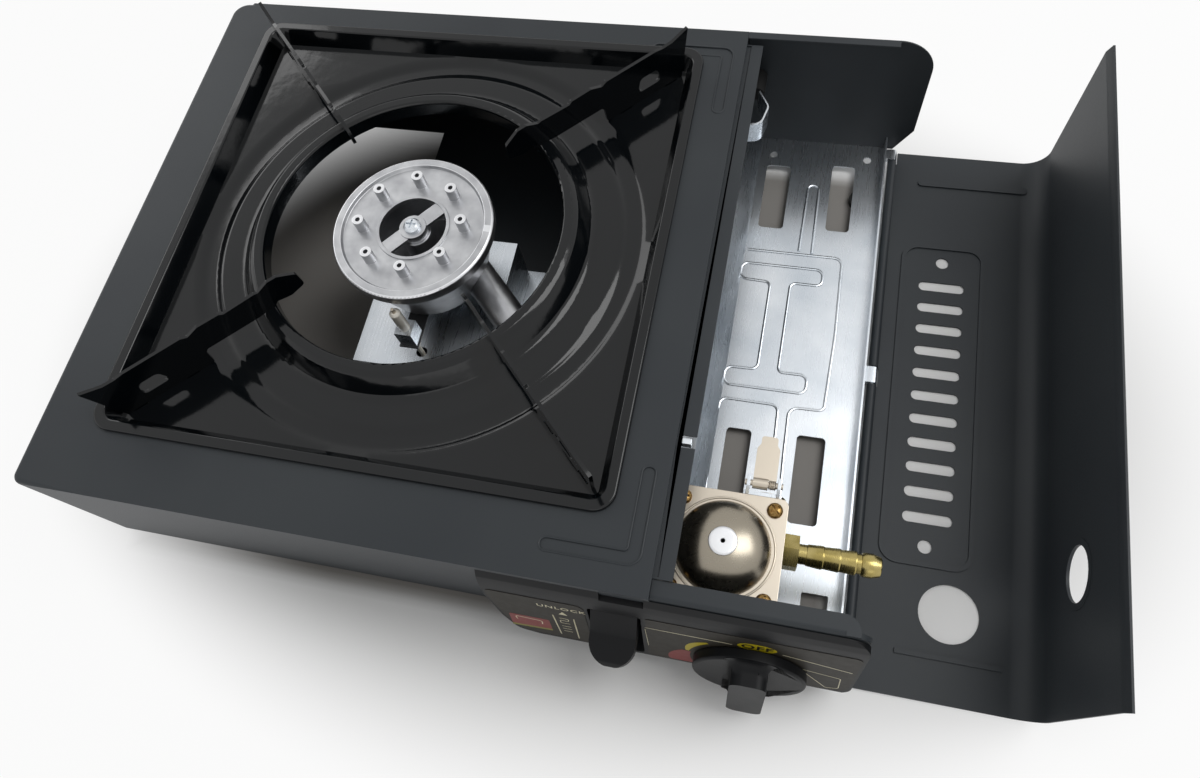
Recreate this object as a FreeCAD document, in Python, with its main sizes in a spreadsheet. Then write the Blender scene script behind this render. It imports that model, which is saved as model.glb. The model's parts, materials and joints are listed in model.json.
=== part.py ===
import FreeCAD
import Part
import Sketcher
import math
import os

os.makedirs("parts", exist_ok=True)
doc = FreeCAD.newDocument("cassette_stove")
V = FreeCAD.Vector

# Driving sizes in millimetres and degrees, from the left front lower corner of the casing
ROWS = [
    ("cas_x", 266.0, "casing width"),
    ("cas_y", 264.0, "casing depth"),
    ("top_z", 76.0, "height of the casing's top"),
    ("foot_z", 3.0, "foot height, underside of the sheets"),
    ("sheet", 0.8, "sheet thickness"),
    ("cas_rb", 8.0, "casing corner radius, back left"),
    ("cas_rf", 4.0, "casing corner radius, front left"),
    ("cas_flange", 15.0, "inward flange at the bottom, wall included"),
    ("lip", 2.0, "height of the lip on the casing's right edge"),
    ("open_half", 108.5, "half side of the opening for the pan"),
    ("open_r", 7.0, "corner radius of that opening"),
    ("groove_deep", 0.4, "depth of the pressed corner marks"),
    ("ax", 136.5, "burner axis, x"),
    ("ay", 139.0, "burner axis, y"),
    ("base_x", 98.0, "left edge of the base plate"),
    ("par_x", 262.0, "left face of the partition"),
    ("par_fx", 273.3, "outer edge of the partition's flange"),
    ("par_fz", 74.0, "top of the partition's flange"),
    ("bay_y0", 8.0, "front end of the partition's flange"),
    ("bay_y1", 258.0, "back end of the partition's flange"),
    ("notch_0", 58.5, "notch in the flange, front"),
    ("notch_1", 63.3, "notch in the flange, back"),
    ("bwall_x", 351.0, "right end of the bay's back wall"),
    ("bwall_r", 17.0, "upper corner radius of that wall"),
    ("fwall_x", 344.0, "right end of the bay's front wall"),
    ("fwall_z", 73.0, "top of the bay's front wall"),
    ("fwall_r", 10.0, "upper corner radius of the front wall and the panel"),
    ("pan_half", 111.5, "half side of the drip pan's rim"),
    ("pan_r", 9.0, "corner radius of the rim"),
    ("rim_z", 2.2, "rim height over the casing"),
    ("pan_low", 108.0, "half side of the pan below the rim"),
    ("pan_in", 107.0, "half side of the recess at the rim"),
    ("pan_deep", 5.0, "depth of the recess floor"),
    ("draft", 25.9, "draft of the recess wall"),
    ("ring_r0", 89.5, "ring groove, inner radius"),
    ("ring_r1", 104.2, "ring groove, outer radius"),
    ("ring_deep", 2.5, "ring groove depth"),
    ("pan_hole", 66.5, "radius of the hole in the pan"),
    ("collar_z", 5.0, "top of the collar round the hole, over the casing's top"),
    ("collar_in", -3.0, "lower edge of the collar's inner wall, over the casing's top"),
    ("sup_t", 1.5, "thickness of a pan support"),
    ("horn_z", 21.0, "horn tip over the casing's top"),
    ("arm_z", 18.4, "arm's upper edge over the casing's top"),
    ("tab_l", 6.0, "length of a support's tab"),
    ("slot_gap", 0.3, "gap round a tab in its slot"),
    ("cap_r", 36.2, "burner cap radius"),
    ("cap_z", 79.0, "top of the burner cap"),
    ("bowl_z0", 46.0, "bottom of the burner bowl"),
    ("bowl_z1", 74.0, "top of the burner bowl"),
    ("bowl_r0", 26.0, "bowl radius at its bottom"),
    ("bowl_r1", 34.0, "bowl radius under its rim"),
    ("tube_x0", 15.0, "start of the mixing tube's bore from the burner axis"),
    ("tube_y", 14.0, "offset of the mixing tube from the burner axis"),
    ("tube_z", 49.5, "height of the mixing tube's axis"),
    ("tube_r", 7.75, "mixing tube radius"),
    ("tube_x", 114.0, "end of the mixing tube from the burner axis"),
    ("jet_x", 128.3, "end of the jet from the burner axis"),
    ("pipe_r", 2.5, "gas pipe radius"),
    ("pipe_y", 37.3, "gas pipe at the partition, y"),
    ("pipe_x", 258.0, "bend of the gas pipe, x"),
    ("pipe_bend", 8.0, "bend radius of the gas pipe"),
    ("plat_z", 31.0, "top of the bracket's platform"),
    ("el_y", 101.0, "electrode, y"),
    ("cer_r", 2.5, "electrode ceramic radius"),
    ("rod_r", 0.8, "electrode rod radius"),
    ("reg_x", 288.3, "regulator centre, x"),
    ("reg_y", 27.5, "regulator centre, y"),
    ("reg_half", 20.0, "half side of the regulator body"),
    ("plate_half", 22.5, "half side of the regulator plate"),
    ("reg_z0", 36.0, "bottom of the regulator body"),
    ("reg_z1", 53.0, "top of the regulator body"),
    ("dia_t", 0.8, "diaphragm thickness"),
    ("plate_t", 1.5, "regulator plate thickness"),
    ("dome_r", 18.5, "dome radius"),
    ("dome_h", 11.7, "dome height"),
    ("dome_cap", 5.6, "radius of the dome's flat cap"),
    ("scr_at", 17.5, "screw distance from the regulator centre"),
    ("nip_y", 33.0, "nipple axis, y"),
    ("nip_z", 43.0, "nipple axis, z"),
    ("nip_r", 4.7, "nipple land radius"),
    ("nip_l", 39.7, "nipple length"),
    ("inl_x", 302.0, "inlet axis, x"),
    ("inl_z", 38.5, "inlet axis, z"),
    ("inl_r", 4.0, "inlet bore radius"),
    ("inl_l", 7.0, "inlet bore length"),
    ("col_r", 15.0, "inlet collar radius"),
    ("ton_y", 54.75, "tongue pin, y"),
    ("ton_z", 55.5, "tongue pin, z"),
    ("ton_r", 1.2, "tongue pin radius"),
    ("run", 0.05, "running clearance, radial"),
    ("knob_x", 304.5, "knob axis, x"),
    ("knob_z", 26.0, "knob axis at the panel's face, z"),
    ("knob_y", -9.907, "panel's face at the knob axis, y"),
    ("tilt", 9.894, "tilt of the panel's face from upright"),
    ("knob_r", 22.0, "knob disc radius"),
    ("knob_t", 4.4, "knob disc thickness"),
    ("grip_w", 11.0, "grip bar width"),
    ("grip_l", 38.0, "grip bar length"),
    ("grip_h", 13.4, "grip's height over the panel's face"),
    ("spin_r", 4.0, "valve spindle radius"),
    ("stub_r", 7.5, "valve stub radius"),
    ("cam_r", 9.7, "cam radius at rest"),
    ("cam_rise", 3.0, "rise of the cam over the turn"),
    ("turn", 100.0, "turn of the knob"),
    ("panel_x", 200.5, "left end of the control panel"),
    ("rec_x0", 242.0, "lever recess, left"),
    ("rec_x1", 262.5, "lever recess, right"),
    ("rec_z0", 16.0, "lever recess, bottom"),
    ("rec_z1", 58.0, "lever recess, top"),
    ("lev_x0", 243.2, "lever, left"),
    ("lev_x1", 261.2, "lever, right"),
    ("lev_z", 56.0, "lever root top"),
    ("lev_run", 18.0, "lever travel"),
    ("stem_z", 47.0, "lever stem centre at rest, z"),
    ("stem_h", 8.0, "lever stem height"),
    ("piv_y", 31.0, "crank pivot, y"),
    ("arm_f", 24.7, "crank arm to the lever's pin, along y"),
    ("arm_s", 9.6, "crank arm to the slide's pin, along z"),
    ("swing", 20.0, "half swing of the crank"),
    ("hx", 343.5, "lid hinge, x"),
    ("hz", 2.2, "lid hinge, z"),
    ("rod_h", 1.35, "hinge rod radius"),
    ("knuckle", 2.2, "knuckle radius"),
    ("lid_y0", -8.0, "front edge of the lid"),
    ("lid_y1", 262.6, "back edge of the lid"),
    ("lid_x", 418.7, "outer face of the lid's upright leg"),
    ("lid_z", 81.5, "height of the lid's upright leg"),
    ("lid_bend", 12.0, "outer bend radius of the lid"),
    ("flare", 1.6, "flare of the finger lip"),
    ("tray_x", 338.5, "inner face of the tray's right flange"),
]

sheet = doc.addObject("Spreadsheet::Sheet", "Sizes")
for number, row in enumerate(ROWS, start=1):
    sheet.set("A%d" % number, row[2])
    sheet.set("B%d" % number, "%.6g" % row[1])
    sheet.setAlias("B%d" % number, row[0])
doc.recompute()


class Size:
    """A number with the sheet formula that gives it."""

    def __init__(self, value, text):
        self.value = value
        self.text = text

    def join(self, other, sign, value):
        return Size(value, "(%s %s %s)" % (self.text, sign, size(other).text))

    def __add__(self, other):
        return self.join(other, "+", self.value + size(other).value)

    def __radd__(self, other):
        return size(other) + self

    def __sub__(self, other):
        return self.join(other, "-", self.value - size(other).value)

    def __rsub__(self, other):
        return size(other) - self

    def __mul__(self, other):
        return self.join(other, "*", self.value * size(other).value)

    def __rmul__(self, other):
        return size(other) * self

    def __truediv__(self, other):
        return self.join(other, "/", self.value / size(other).value)

    def __neg__(self):
        return Size(-self.value, "(0 - %s)" % self.text)


def size(number):
    if isinstance(number, Size):
        return number
    return Size(float(number), "(%.6f)" % float(number))


class Sheet:
    """Sizes by name."""


s = Sheet()
for row in ROWS:
    setattr(s, row[0], Size(row[1], "Sizes." + row[0]))

# Values that several pieces share
wall = s.sheet
in_z = s.foot_z + wall
shift_x = -(s.lid_x + s.flare) / 2.0
grip_y = s.knob_y - s.grip_h * 0.98513 - s.grip_l * 0.085915
shift_y = -(s.cas_y + grip_y) / 2.0
par_in = s.par_x + wall
reg_top = s.reg_z1 + s.dia_t + s.plate_t
knob_turned = 90.0 - s.tilt
OUT = {}
CHECKED = []


def bind(target, name, value):
    target.setExpression(name, size(value).text)


def place(target, x=0.0, y=0.0, z=0.0, axis=None, angle=None):
    """Puts a piece into the frame of the whole stove."""
    if axis is not None:
        target.Placement = FreeCAD.Placement(V(), FreeCAD.Rotation(V(*axis), size(angle).value))
        bind(target, "Placement.Rotation.Angle", angle)
    bind(target, "Placement.Base.x", x + shift_x)
    bind(target, "Placement.Base.y", y + shift_y)
    bind(target, "Placement.Base.z", z)


def link(sketch, kind, first, end, value):
    index = sketch.addConstraint(Sketcher.Constraint(kind, -1, 1, first, end, size(value).value))
    sketch.setExpression("Constraints[%d]" % index, size(value).text)


def outline(sketch, corners):
    """Closed outline; a corner is (x, y) or (x, y, radius)."""
    points = [(size(c[0]), size(c[1]), size(c[2]) if len(c) > 2 else None) for c in corners]
    count = len(points)
    flat = [V(p[0].value, p[1].value, 0) for p in points]
    starts = []
    ends = []
    arcs = []
    for i in range(count):
        radius = points[i][2]
        if radius is None:
            ends.append(flat[i])
            starts.append(flat[i])
            arcs.append(None)
            continue
        back = (flat[i - 1] - flat[i]).normalize()
        ahead = (flat[(i + 1) % count] - flat[i]).normalize()
        half = back.getAngle(ahead) / 2.0
        reach = radius.value / math.tan(half)
        first = flat[i] + back * reach
        last = flat[i] + ahead * reach
        centre = flat[i] + (back + ahead).normalize() * (radius.value / math.sin(half))
        ends.append(first)
        starts.append(last)
        begin = math.atan2(first.y - centre.y, first.x - centre.x)
        finish = math.atan2(last.y - centre.y, last.x - centre.x)
        forward = (finish - begin) % (2.0 * math.pi) < math.pi
        if not forward:
            begin, finish = finish, begin
        if finish < begin:
            finish += 2.0 * math.pi
        arcs.append((Part.ArcOfCircle(Part.Circle(centre, V(0, 0, 1), radius.value), begin, finish), forward))
    lines = []
    for i in range(count):
        line = Part.LineSegment(starts[i], ends[(i + 1) % count])
        lines.append(sketch.addGeometry(line, False))
    for i in range(count):
        before = lines[i - 1]
        after = lines[i]
        if arcs[i] is None:
            sketch.addConstraint(Sketcher.Constraint("Coincident", before, 2, after, 1))
            link(sketch, "DistanceX", after, 1, points[i][0])
            link(sketch, "DistanceY", after, 1, points[i][1])
            continue
        arc = sketch.addGeometry(arcs[i][0], False)
        first, last = (1, 2) if arcs[i][1] else (2, 1)
        corner = sketch.addGeometry(Part.Point(flat[i]), True)
        sketch.addConstraint([
            Sketcher.Constraint("Tangent", before, 2, arc, first),
            Sketcher.Constraint("Tangent", after, 1, arc, last),
            Sketcher.Constraint("PointOnObject", corner, 1, before),
            Sketcher.Constraint("PointOnObject", corner, 1, after),
        ])
        index = sketch.addConstraint(Sketcher.Constraint("Radius", arc, points[i][2].value))
        sketch.setExpression("Constraints[%d]" % index, points[i][2].text)
        link(sketch, "DistanceX", corner, 1, points[i][0])
        link(sketch, "DistanceY", corner, 1, points[i][1])


def box(x0, x1, y0, y1, r=None):
    if r is None:
        return [(x0, y0), (x1, y0), (x1, y1), (x0, y1)]
    return [(x0, y0, r), (x1, y0, r), (x1, y1, r), (x0, y1, r)]


def square(cx, cy, half, r=None):
    return box(cx - half, cx + half, cy - half, cy + half, r)


class Piece:
    """A body with the steps that shape it."""

    def __init__(self, label):
        self.body = doc.addObject("PartDesign::Body", label)
        self.body.Label = label
        self.last = None

    def sketch(self, plane, lift, loops):
        item = self.body.newObject("Sketcher::SketchObject", "outline")
        origin = [f for f in self.body.Origin.OriginFeatures if f.Role == plane][0]
        item.AttachmentSupport = (origin, [""])
        item.MapMode = "FlatFace"
        lift = -size(lift) if plane == "XZ_Plane" else size(lift)
        bind(item, "AttachmentOffset.Base.z", lift)
        for loop in loops:
            if isinstance(loop, tuple):
                cx, cy, r = [size(v) for v in loop]
                circle = Part.Circle(V(cx.value, cy.value, 0), V(0, 0, 1), r.value)
                index = item.addGeometry(circle, False)
                link(item, "DistanceX", index, 3, cx)
                link(item, "DistanceY", index, 3, cy)
                at = item.addConstraint(Sketcher.Constraint("Radius", index, r.value))
                item.setExpression("Constraints[%d]" % at, r.text)
            else:
                outline(item, loop)
        item.Visibility = False
        return item

    def pad(self, plane, low, high, loops, draft=None):
        item = self.sketch(plane, low, loops)
        step = self.body.newObject("PartDesign::Pad", "pad")
        step.Profile = item
        bind(step, "Length", size(high) - low)
        step.Reversed = plane == "XZ_Plane"
        if draft is not None:
            bind(step, "TaperAngle", draft)
        self.last = step
        return self

    def cut(self, plane, low, high, loops, draft=None):
        item = self.sketch(plane, low, loops)
        step = self.body.newObject("PartDesign::Pocket", "cut")
        step.Profile = item
        bind(step, "Length", size(high) - low)
        step.Reversed = plane != "XZ_Plane"
        if draft is not None:
            bind(step, "TaperAngle", draft)
        CHECKED.append((self.body.Label, self.last, step))
        self.last = step
        return self

    def pad_down(self, high, low, loops, draft):
        item = self.sketch("XY_Plane", high, loops)
        step = self.body.newObject("PartDesign::Pad", "pad")
        step.Profile = item
        bind(step, "Length", size(high) - low)
        step.Reversed = True
        bind(step, "TaperAngle", draft)
        self.last = step
        return self

    def cut_down(self, high, low, loops, draft):
        item = self.sketch("XY_Plane", high, loops)
        step = self.body.newObject("PartDesign::Pocket", "cut")
        step.Profile = item
        bind(step, "Length", size(high) - low)
        bind(step, "TaperAngle", draft)
        CHECKED.append((self.body.Label, self.last, step))
        self.last = step
        return self

    def turn(self, corners, kind="PartDesign::Revolution"):
        item = self.sketch("XZ_Plane", 0.0, [corners])
        step = self.body.newObject(kind, "turned")
        step.Profile = item
        step.ReferenceAxis = (item, ["V_Axis"])
        step.Angle = 360.0
        if kind == "PartDesign::Groove":
            CHECKED.append((self.body.Label, self.last, step))
        self.last = step
        return self

    def groove(self, corners):
        return self.turn(corners, "PartDesign::Groove")

    def around(self, count):
        """Repeats the last step round the local z axis."""
        step = self.body.newObject("PartDesign::PolarPattern", "repeat")
        step.Originals = [self.last]
        axis = [f for f in self.body.Origin.OriginFeatures if f.Role == "Z_Axis"][0]
        step.Axis = (axis, [""])
        step.Angle = 360.0
        step.Occurrences = count
        self.body.Tip = step
        self.last = step
        return self

    def round_edges(self, radius, test):
        """Rounds the edges that the test picks."""
        doc.recompute()
        shape = self.last.Shape
        names = []
        for number, edge in enumerate(shape.Edges, start=1):
            if test(edge.BoundBox):
                names.append("Edge%d" % number)
        step = self.body.newObject("PartDesign::Fillet", "rounding")
        step.Base = (self.last, names)
        bind(step, "Radius", radius)
        self.last = step
        return self

    def put(self, x=0.0, y=0.0, z=0.0, axis=None, angle=None):
        place(self.body, x, y, z, axis, angle)
        OUT[self.body.Label] = self.body
        return self


def together(label, items):
    """One piece made of several equal solids."""
    joined = doc.addObject("Part::Compound", label)
    joined.Label = label
    joined.Links = items
    bind(joined, "Placement.Base.x", shift_x)
    bind(joined, "Placement.Base.y", shift_y)
    OUT[label] = joined
    return joined


def rod_along(path, radius, label):
    """Round wire or pipe along a path."""
    first = path.Edges[0]
    start = first.valueAt(first.FirstParameter)
    ring = Part.Wire([Part.makeCircle(radius, start, first.tangentAt(first.FirstParameter))])
    item = doc.addObject("Part::Feature", label)
    item.Label = label
    item.Shape = path.makePipeShell([ring], True, False)
    item.Placement = FreeCAD.Placement(V(shift_x.value, shift_y.value, 0), FreeCAD.Rotation())
    OUT[label] = item
    return item


def bent_path(points, radii):
    """Straight runs joined by arcs of the given radii."""
    edges = []
    start = points[0]
    for i in range(1, len(points) - 1):
        back = (points[i - 1] - points[i]).normalize()
        ahead = (points[i + 1] - points[i]).normalize()
        half = back.getAngle(ahead) / 2.0
        reach = radii[i - 1] / math.tan(half)
        first = points[i] + back * reach
        last = points[i] + ahead * reach
        centre = points[i] + (back + ahead).normalize() * (radii[i - 1] / math.sin(half))
        middle = centre + (points[i] - centre).normalize() * radii[i - 1]
        edges.append(Part.makeLine(start, first))
        edges.append(Part.Arc(first, middle, last).toShape())
        start = last
    edges.append(Part.makeLine(start, points[-1]))
    return Part.Wire(edges)


# Casing: one folded sheet, open on the right, with the opening for the drip pan
casing = Piece("casing_shell")
casing.pad("XY_Plane", s.foot_z, s.top_z, [[
    (0.0, 0.0, s.cas_rf), (s.cas_x, 0.0), (s.cas_x, s.cas_y), (0.0, s.cas_y, s.cas_rb)]])
casing.cut("XY_Plane", in_z, s.top_z - wall, [[
    (wall, wall, s.cas_rf - wall), (s.cas_x - wall, wall),
    (s.cas_x - wall, s.cas_y - wall), (wall, s.cas_y - wall, s.cas_rb - wall)]])
casing.cut("XY_Plane", s.foot_z, in_z, [box(
    s.cas_flange, s.cas_x, s.cas_flange, s.cas_y - s.cas_flange)])
casing.cut("XY_Plane", s.foot_z, s.top_z - s.lip, [box(
    s.cas_x - wall, s.cas_x, wall, s.cas_y - wall)])
casing.cut("XY_Plane", s.top_z - wall, s.top_z, [square(s.ax, s.ay, s.open_half, s.open_r)])
far = s.cas_y - 10.6
casing.cut("XY_Plane", s.top_z - s.groove_deep, s.top_z, [
    [(223.0, 10.6, 2.55), (260.8, 10.6, 5.0), (260.8, 48.4, 2.55), (255.5, 48.4, 2.55),
     (255.5, 15.8, 1.5), (223.0, 15.8, 2.55)],
    [(223.0, far, 2.55), (223.0, far - 5.2, 2.55), (255.5, far - 5.2, 1.5), (255.5, far - 37.8, 2.55),
     (260.8, far - 37.8, 2.55), (260.8, far, 5.0)]])
casing.cut("XZ_Plane", 0.0, wall, [box(249.5, 258.0, 24.0, 52.0)])
casing.put()

base = Piece("base_plate")
base.pad("XY_Plane", in_z, in_z + wall, [box(s.base_x, s.par_x, wall, s.cas_y - wall)])
base.pad("XY_Plane", in_z + wall, in_z + 2.0 * wall, [
    box(112.0, 116.0, 40.0, 84.0), box(184.0, 188.0, 40.0, 200.0), box(200.0, 204.0, 40.0, 200.0)])
base.cut("XY_Plane", in_z, in_z + wall, [
    box(216.0, 222.0, 90.0, 150.0, 2.9), box(230.0, 236.0, 90.0, 150.0, 2.9)])
base.put()

# Partition between the casing and the canister bay
partition = Piece("partition")
partition.pad("XY_Plane", in_z, s.par_fz, [box(s.par_x, par_in, wall, s.cas_y - wall)])
partition.pad("XY_Plane", s.par_fz - wall, s.par_fz, [box(s.par_x, s.par_fx, s.bay_y0, s.bay_y1)])
partition.cut("XY_Plane", s.par_fz - wall, s.par_fz, [box(266.4, s.par_fx, s.notch_0, s.notch_1)])
partition.cut("YZ_Plane", s.par_x, par_in, [
    box(60.0, 70.6, 67.5, s.par_fz - wall),
    (s.pipe_y, s.tube_z, s.pipe_r + 1.0),
    (10.0, 22.5, 2.0)])
partition.put()

back_wall = Piece("bay_back_wall")
back_wall.pad("XZ_Plane", s.cas_y - wall, s.cas_y, [[
    (s.cas_x, s.foot_z), (343.0, s.foot_z), (s.bwall_x, 18.0),
    (s.bwall_x, s.top_z, s.bwall_r), (s.cas_x, s.top_z)]])
back_wall.pad("XY_Plane", s.top_z - wall, s.top_z, [box(
    s.cas_x, s.bwall_x - s.bwall_r, s.cas_y - 3.8, s.cas_y - wall)])
back_wall.put()

flange_x = s.fwall_x - s.fwall_r * 0.5
front_wall = Piece("bay_front_wall")
front_wall.pad("XZ_Plane", 0.0, wall, [[
    (s.cas_x, s.foot_z), (s.fwall_x, s.foot_z), (s.fwall_x, s.fwall_z, s.fwall_r), (s.cas_x, s.fwall_z)]])
front_wall.pad("XY_Plane", s.fwall_z - wall, s.fwall_z, [[
    (s.cas_x, wall), (flange_x, wall), (flange_x, s.bay_y0, 6.0), (s.cas_x, s.bay_y0)]])
front_wall.cut("XZ_Plane", 0.0, wall, [(s.knob_x, 24.2, 6.0)])
front_wall.put()

# Control panel: a moulded shell with the lever's recess
panel = Piece("control_panel")
panel.pad("YZ_Plane", s.panel_x, s.fwall_x, [[
    (0.0, 12.0), (-10.5, 12.0), (-12.0, 14.0), (-4.0988, 59.3), (-3.3, 64.0), (-1.9, 68.5, 4.0), (0.0, 72.0)]])
panel.cut("XZ_Plane", -14.0, 0.0, [[
    (s.panel_x - 1.0, 11.0), (s.panel_x + 24.0, 11.0), (s.panel_x + 24.0, 12.0), (s.panel_x + 8.0, 16.5, 6.0),
    (s.panel_x + 3.5, 30.0, 8.0), (s.panel_x, 52.0), (s.panel_x - 1.0, 52.0)]])
panel.cut("XZ_Plane", -14.0, 0.0, [[
    (s.fwall_x - 10.0, 11.0), (s.fwall_x + 1.0, 11.0), (s.fwall_x + 1.0, 24.0), (s.fwall_x, 24.0),
    (s.fwall_x, 12.0, 8.0), (s.fwall_x - 10.0, 12.0)]])
panel.cut("XZ_Plane", -14.0, 0.0, [[
    (s.fwall_x + 1.0, 60.0), (s.fwall_x + 1.0, 73.0), (s.fwall_x - 12.0, 73.0), (s.fwall_x - 12.0, 72.0),
    (s.fwall_x, 72.0, s.fwall_r), (s.fwall_x, 60.0)]])
hollow = [(0.0, 18.0), (-9.3, 18.0), (-10.1, 19.5), (-3.3, 58.4), (-1.5, 66.5), (0.0, 69.5)]
panel.cut("YZ_Plane", s.panel_x + 10.0, s.rec_x0 - 1.0, [hollow])
panel.cut("YZ_Plane", s.rec_x1 + 1.0, s.fwall_x - 6.0, [hollow])
panel.cut("XZ_Plane", -14.0, -1.0, [box(s.rec_x0, s.rec_x1, s.rec_z0, s.rec_z1, 2.0)])
panel.cut("XZ_Plane", -1.0, 0.0, [box(249.5, 258.0, 24.0, 52.0)])
panel.cut("XZ_Plane", -14.0, 0.0, [box(247.5, 264.0, 67.5, 72.5)])
panel.cut("XZ_Plane", -14.0, -8.0, [(s.knob_x, s.knob_z, 6.0)])
panel.put()

film = Piece("label_left")
film.pad("XZ_Plane", -0.2, 0.0, [[
    (s.panel_x + 11.0, 3.0, 4.0), (s.rec_x0 - 1.4, 1.5, 1.5), (s.rec_x0 - 1.4, 45.0, 4.0),
    (s.panel_x + 1.3, 45.0, 2.0), (s.panel_x + 1.3, 38.5), (s.panel_x + 4.7, 16.8, 7.0)]])
film.put(0.0, -12.0, 14.0, (-1, 0, 0), s.tilt)
film = Piece("label_right")
film.pad("XZ_Plane", -0.2, 0.0, [[
    (s.rec_x1 + 1.8, 1.5, 1.5), (s.fwall_x - 1.2, 1.5, 7.0), (s.fwall_x - 1.2, 45.0, 3.0),
    (s.rec_x1 + 1.8, 45.0, 1.5)]])
film.cut("XZ_Plane", -0.2, 0.0, [(s.knob_x, 12.18, 8.0)])
film.put(0.0, -12.0, 14.0, (-1, 0, 0), s.tilt)

# Canister tray with the lugs for the hinge rod
tray = Piece("canister_tray")
tray.pad("XZ_Plane", wall, s.cas_y - wall, [[
    (par_in, 12.8), (268.6, 12.8), (276.0, in_z), (s.tray_x, in_z), (s.tray_x, 12.0),
    (s.tray_x + wall, 12.0), (s.tray_x + wall, s.foot_z), (275.7, s.foot_z),
    (268.3, 12.0), (par_in, 12.0)]])
tray.pad("XY_Plane", in_z, in_z + wall, [
    box(303.5, 307.5, 194.6, 235.3, 1.9),
    [(283.5, 186.0, 3.0), (313.5, 186.0, 3.0), (313.5, 177.0, 3.0), (304.5, 177.0, 3.0),
     (304.5, 124.0, 3.0), (315.0, 124.0, 3.0), (315.0, 114.0, 3.0), (284.5, 114.0, 3.0),
     (284.5, 124.0, 3.0), (292.0, 124.0, 3.0), (292.0, 177.0, 3.0), (283.5, 177.0, 3.0)]])
tray.cut("XY_Plane", s.foot_z, in_z, [
    box(280.5, 293.0, 207.0, 246.0, 2.0), box(314.0, 325.5, 208.6, 248.8, 2.0),
    box(280.7, 292.3, 58.0, 96.0, 2.0), box(312.7, 325.6, 55.4, 97.0, 2.0),
    box(311.2, 324.3, 14.0, 26.0), (331.0, 254.0, 2.0), (283.0, 253.0, 2.0)])
LUGS = [(2.0, 8.0), (128.0, 136.0), (256.0, 262.0)]
for low, high in LUGS:
    tray.pad("XZ_Plane", low, high, [[
        (s.tray_x, s.foot_z), (s.hx - 0.2, 0.0), (s.hx + 1.9, 0.6), (s.hx + s.knuckle, s.hz),
        (s.hx + 1.2, 4.2), (s.hx - 1.0, 4.4), (s.tray_x + wall, 3.9)]])
    tray.cut("XZ_Plane", low, high, [(s.hx, s.hz, s.rod_h)])
tray.put()

rod = Piece("hinge_rod")
rod.pad("XZ_Plane", 1.4, 262.4, [(s.hx, s.hz, s.rod_h)])
rod.put()

feet = []
for x, y in ((10.0, 10.0), (10.0, 254.0), (330.0, 34.0), (330.0, 230.0)):
    foot = doc.addObject("Part::Cylinder", "foot")
    bind(foot, "Radius", 6.0)
    bind(foot, "Height", s.foot_z)
    bind(foot, "Placement.Base.x", x)
    bind(foot, "Placement.Base.y", y)
    feet.append(foot)
together("feet", feet)

# Burner, its bracket and the gas way
bracket = Piece("burner_bracket")
bracket.pad("XY_Plane", s.plat_z - 1.0, s.plat_z, [[
    (104.0, 92.0), (158.0, 92.0), (168.0, 102.0), (168.0, 165.0), (104.0, 165.0)]])
bracket.pad("XY_Plane", in_z + wall, s.plat_z - 1.0, [box(167.0, 168.0, 104.0, 165.0)])
bracket.pad("XY_Plane", in_z + wall, s.plat_z - 1.0, [box(104.0, 105.0, 92.0, 165.0)])
bracket.pad("XY_Plane", in_z + wall, in_z + wall + 1.0, [box(168.0, 180.0, 104.0, 165.0)])
bracket.pad("XY_Plane", s.plat_z, s.bowl_z0, [(s.ax, s.ay, s.tube_y - s.tube_r - 0.25)])
bracket.cut("XY_Plane", s.plat_z - 1.0, s.plat_z, [(s.ax, s.el_y, 2.6)])
bracket.put()

bowl = Piece("burner_bowl")
bowl.turn([(0.0, s.bowl_z0), (s.bowl_r0, s.bowl_z0), (s.bowl_r1, 72.0), (35.2, 72.0), (35.2, s.bowl_z1),
           (0.0, s.bowl_z1)])
bowl.groove([(7.0, 48.0), (24.2, 48.0), (31.5, 72.0), (31.5, s.bowl_z1), (7.0, s.bowl_z1)])
bowl.cut("YZ_Plane", s.tube_x0, 45.0, [(s.tube_y, s.tube_z, s.tube_r - 1.5)])
bowl.cut("XY_Plane", 60.0, s.bowl_z1, [(0.0, 0.0, 2.0)])
bowl.put(s.ax, s.ay, 0.0, (0, 0, -1), 45.0)

tube = Piece("tube_stock")
tube.pad("YZ_Plane", s.tube_x0 - 3.0, s.tube_x, [(s.tube_y, s.tube_z, s.tube_r)])
tube.cut("YZ_Plane", s.tube_x0, s.tube_x, [(s.tube_y, s.tube_z, s.tube_r - 1.5)])
bowl_form = doc.addObject("Part::Cone", "bowl_form")
bind(bowl_form, "Radius1", s.bowl_r0)
bind(bowl_form, "Radius2", s.bowl_r1)
bind(bowl_form, "Height", 72.0 - s.bowl_z0)
bind(bowl_form, "Placement.Base.z", s.bowl_z0)
mixing = doc.addObject("Part::Cut", "mixing_tube")
mixing.Base = tube.body
mixing.Tool = bowl_form
place(mixing, s.ax, s.ay, 0.0, (0, 0, -1), 45.0)
OUT["mixing_tube"] = mixing

shutter = Piece("air_shutter")
shutter.pad("YZ_Plane", s.tube_x - 14.0, s.tube_x, [
    (s.tube_y, s.tube_z, s.tube_r + 1.1), (s.tube_y, s.tube_z, s.tube_r)])
shutter.put(s.ax, s.ay, 0.0, (0, 0, -1), 45.0)

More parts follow.
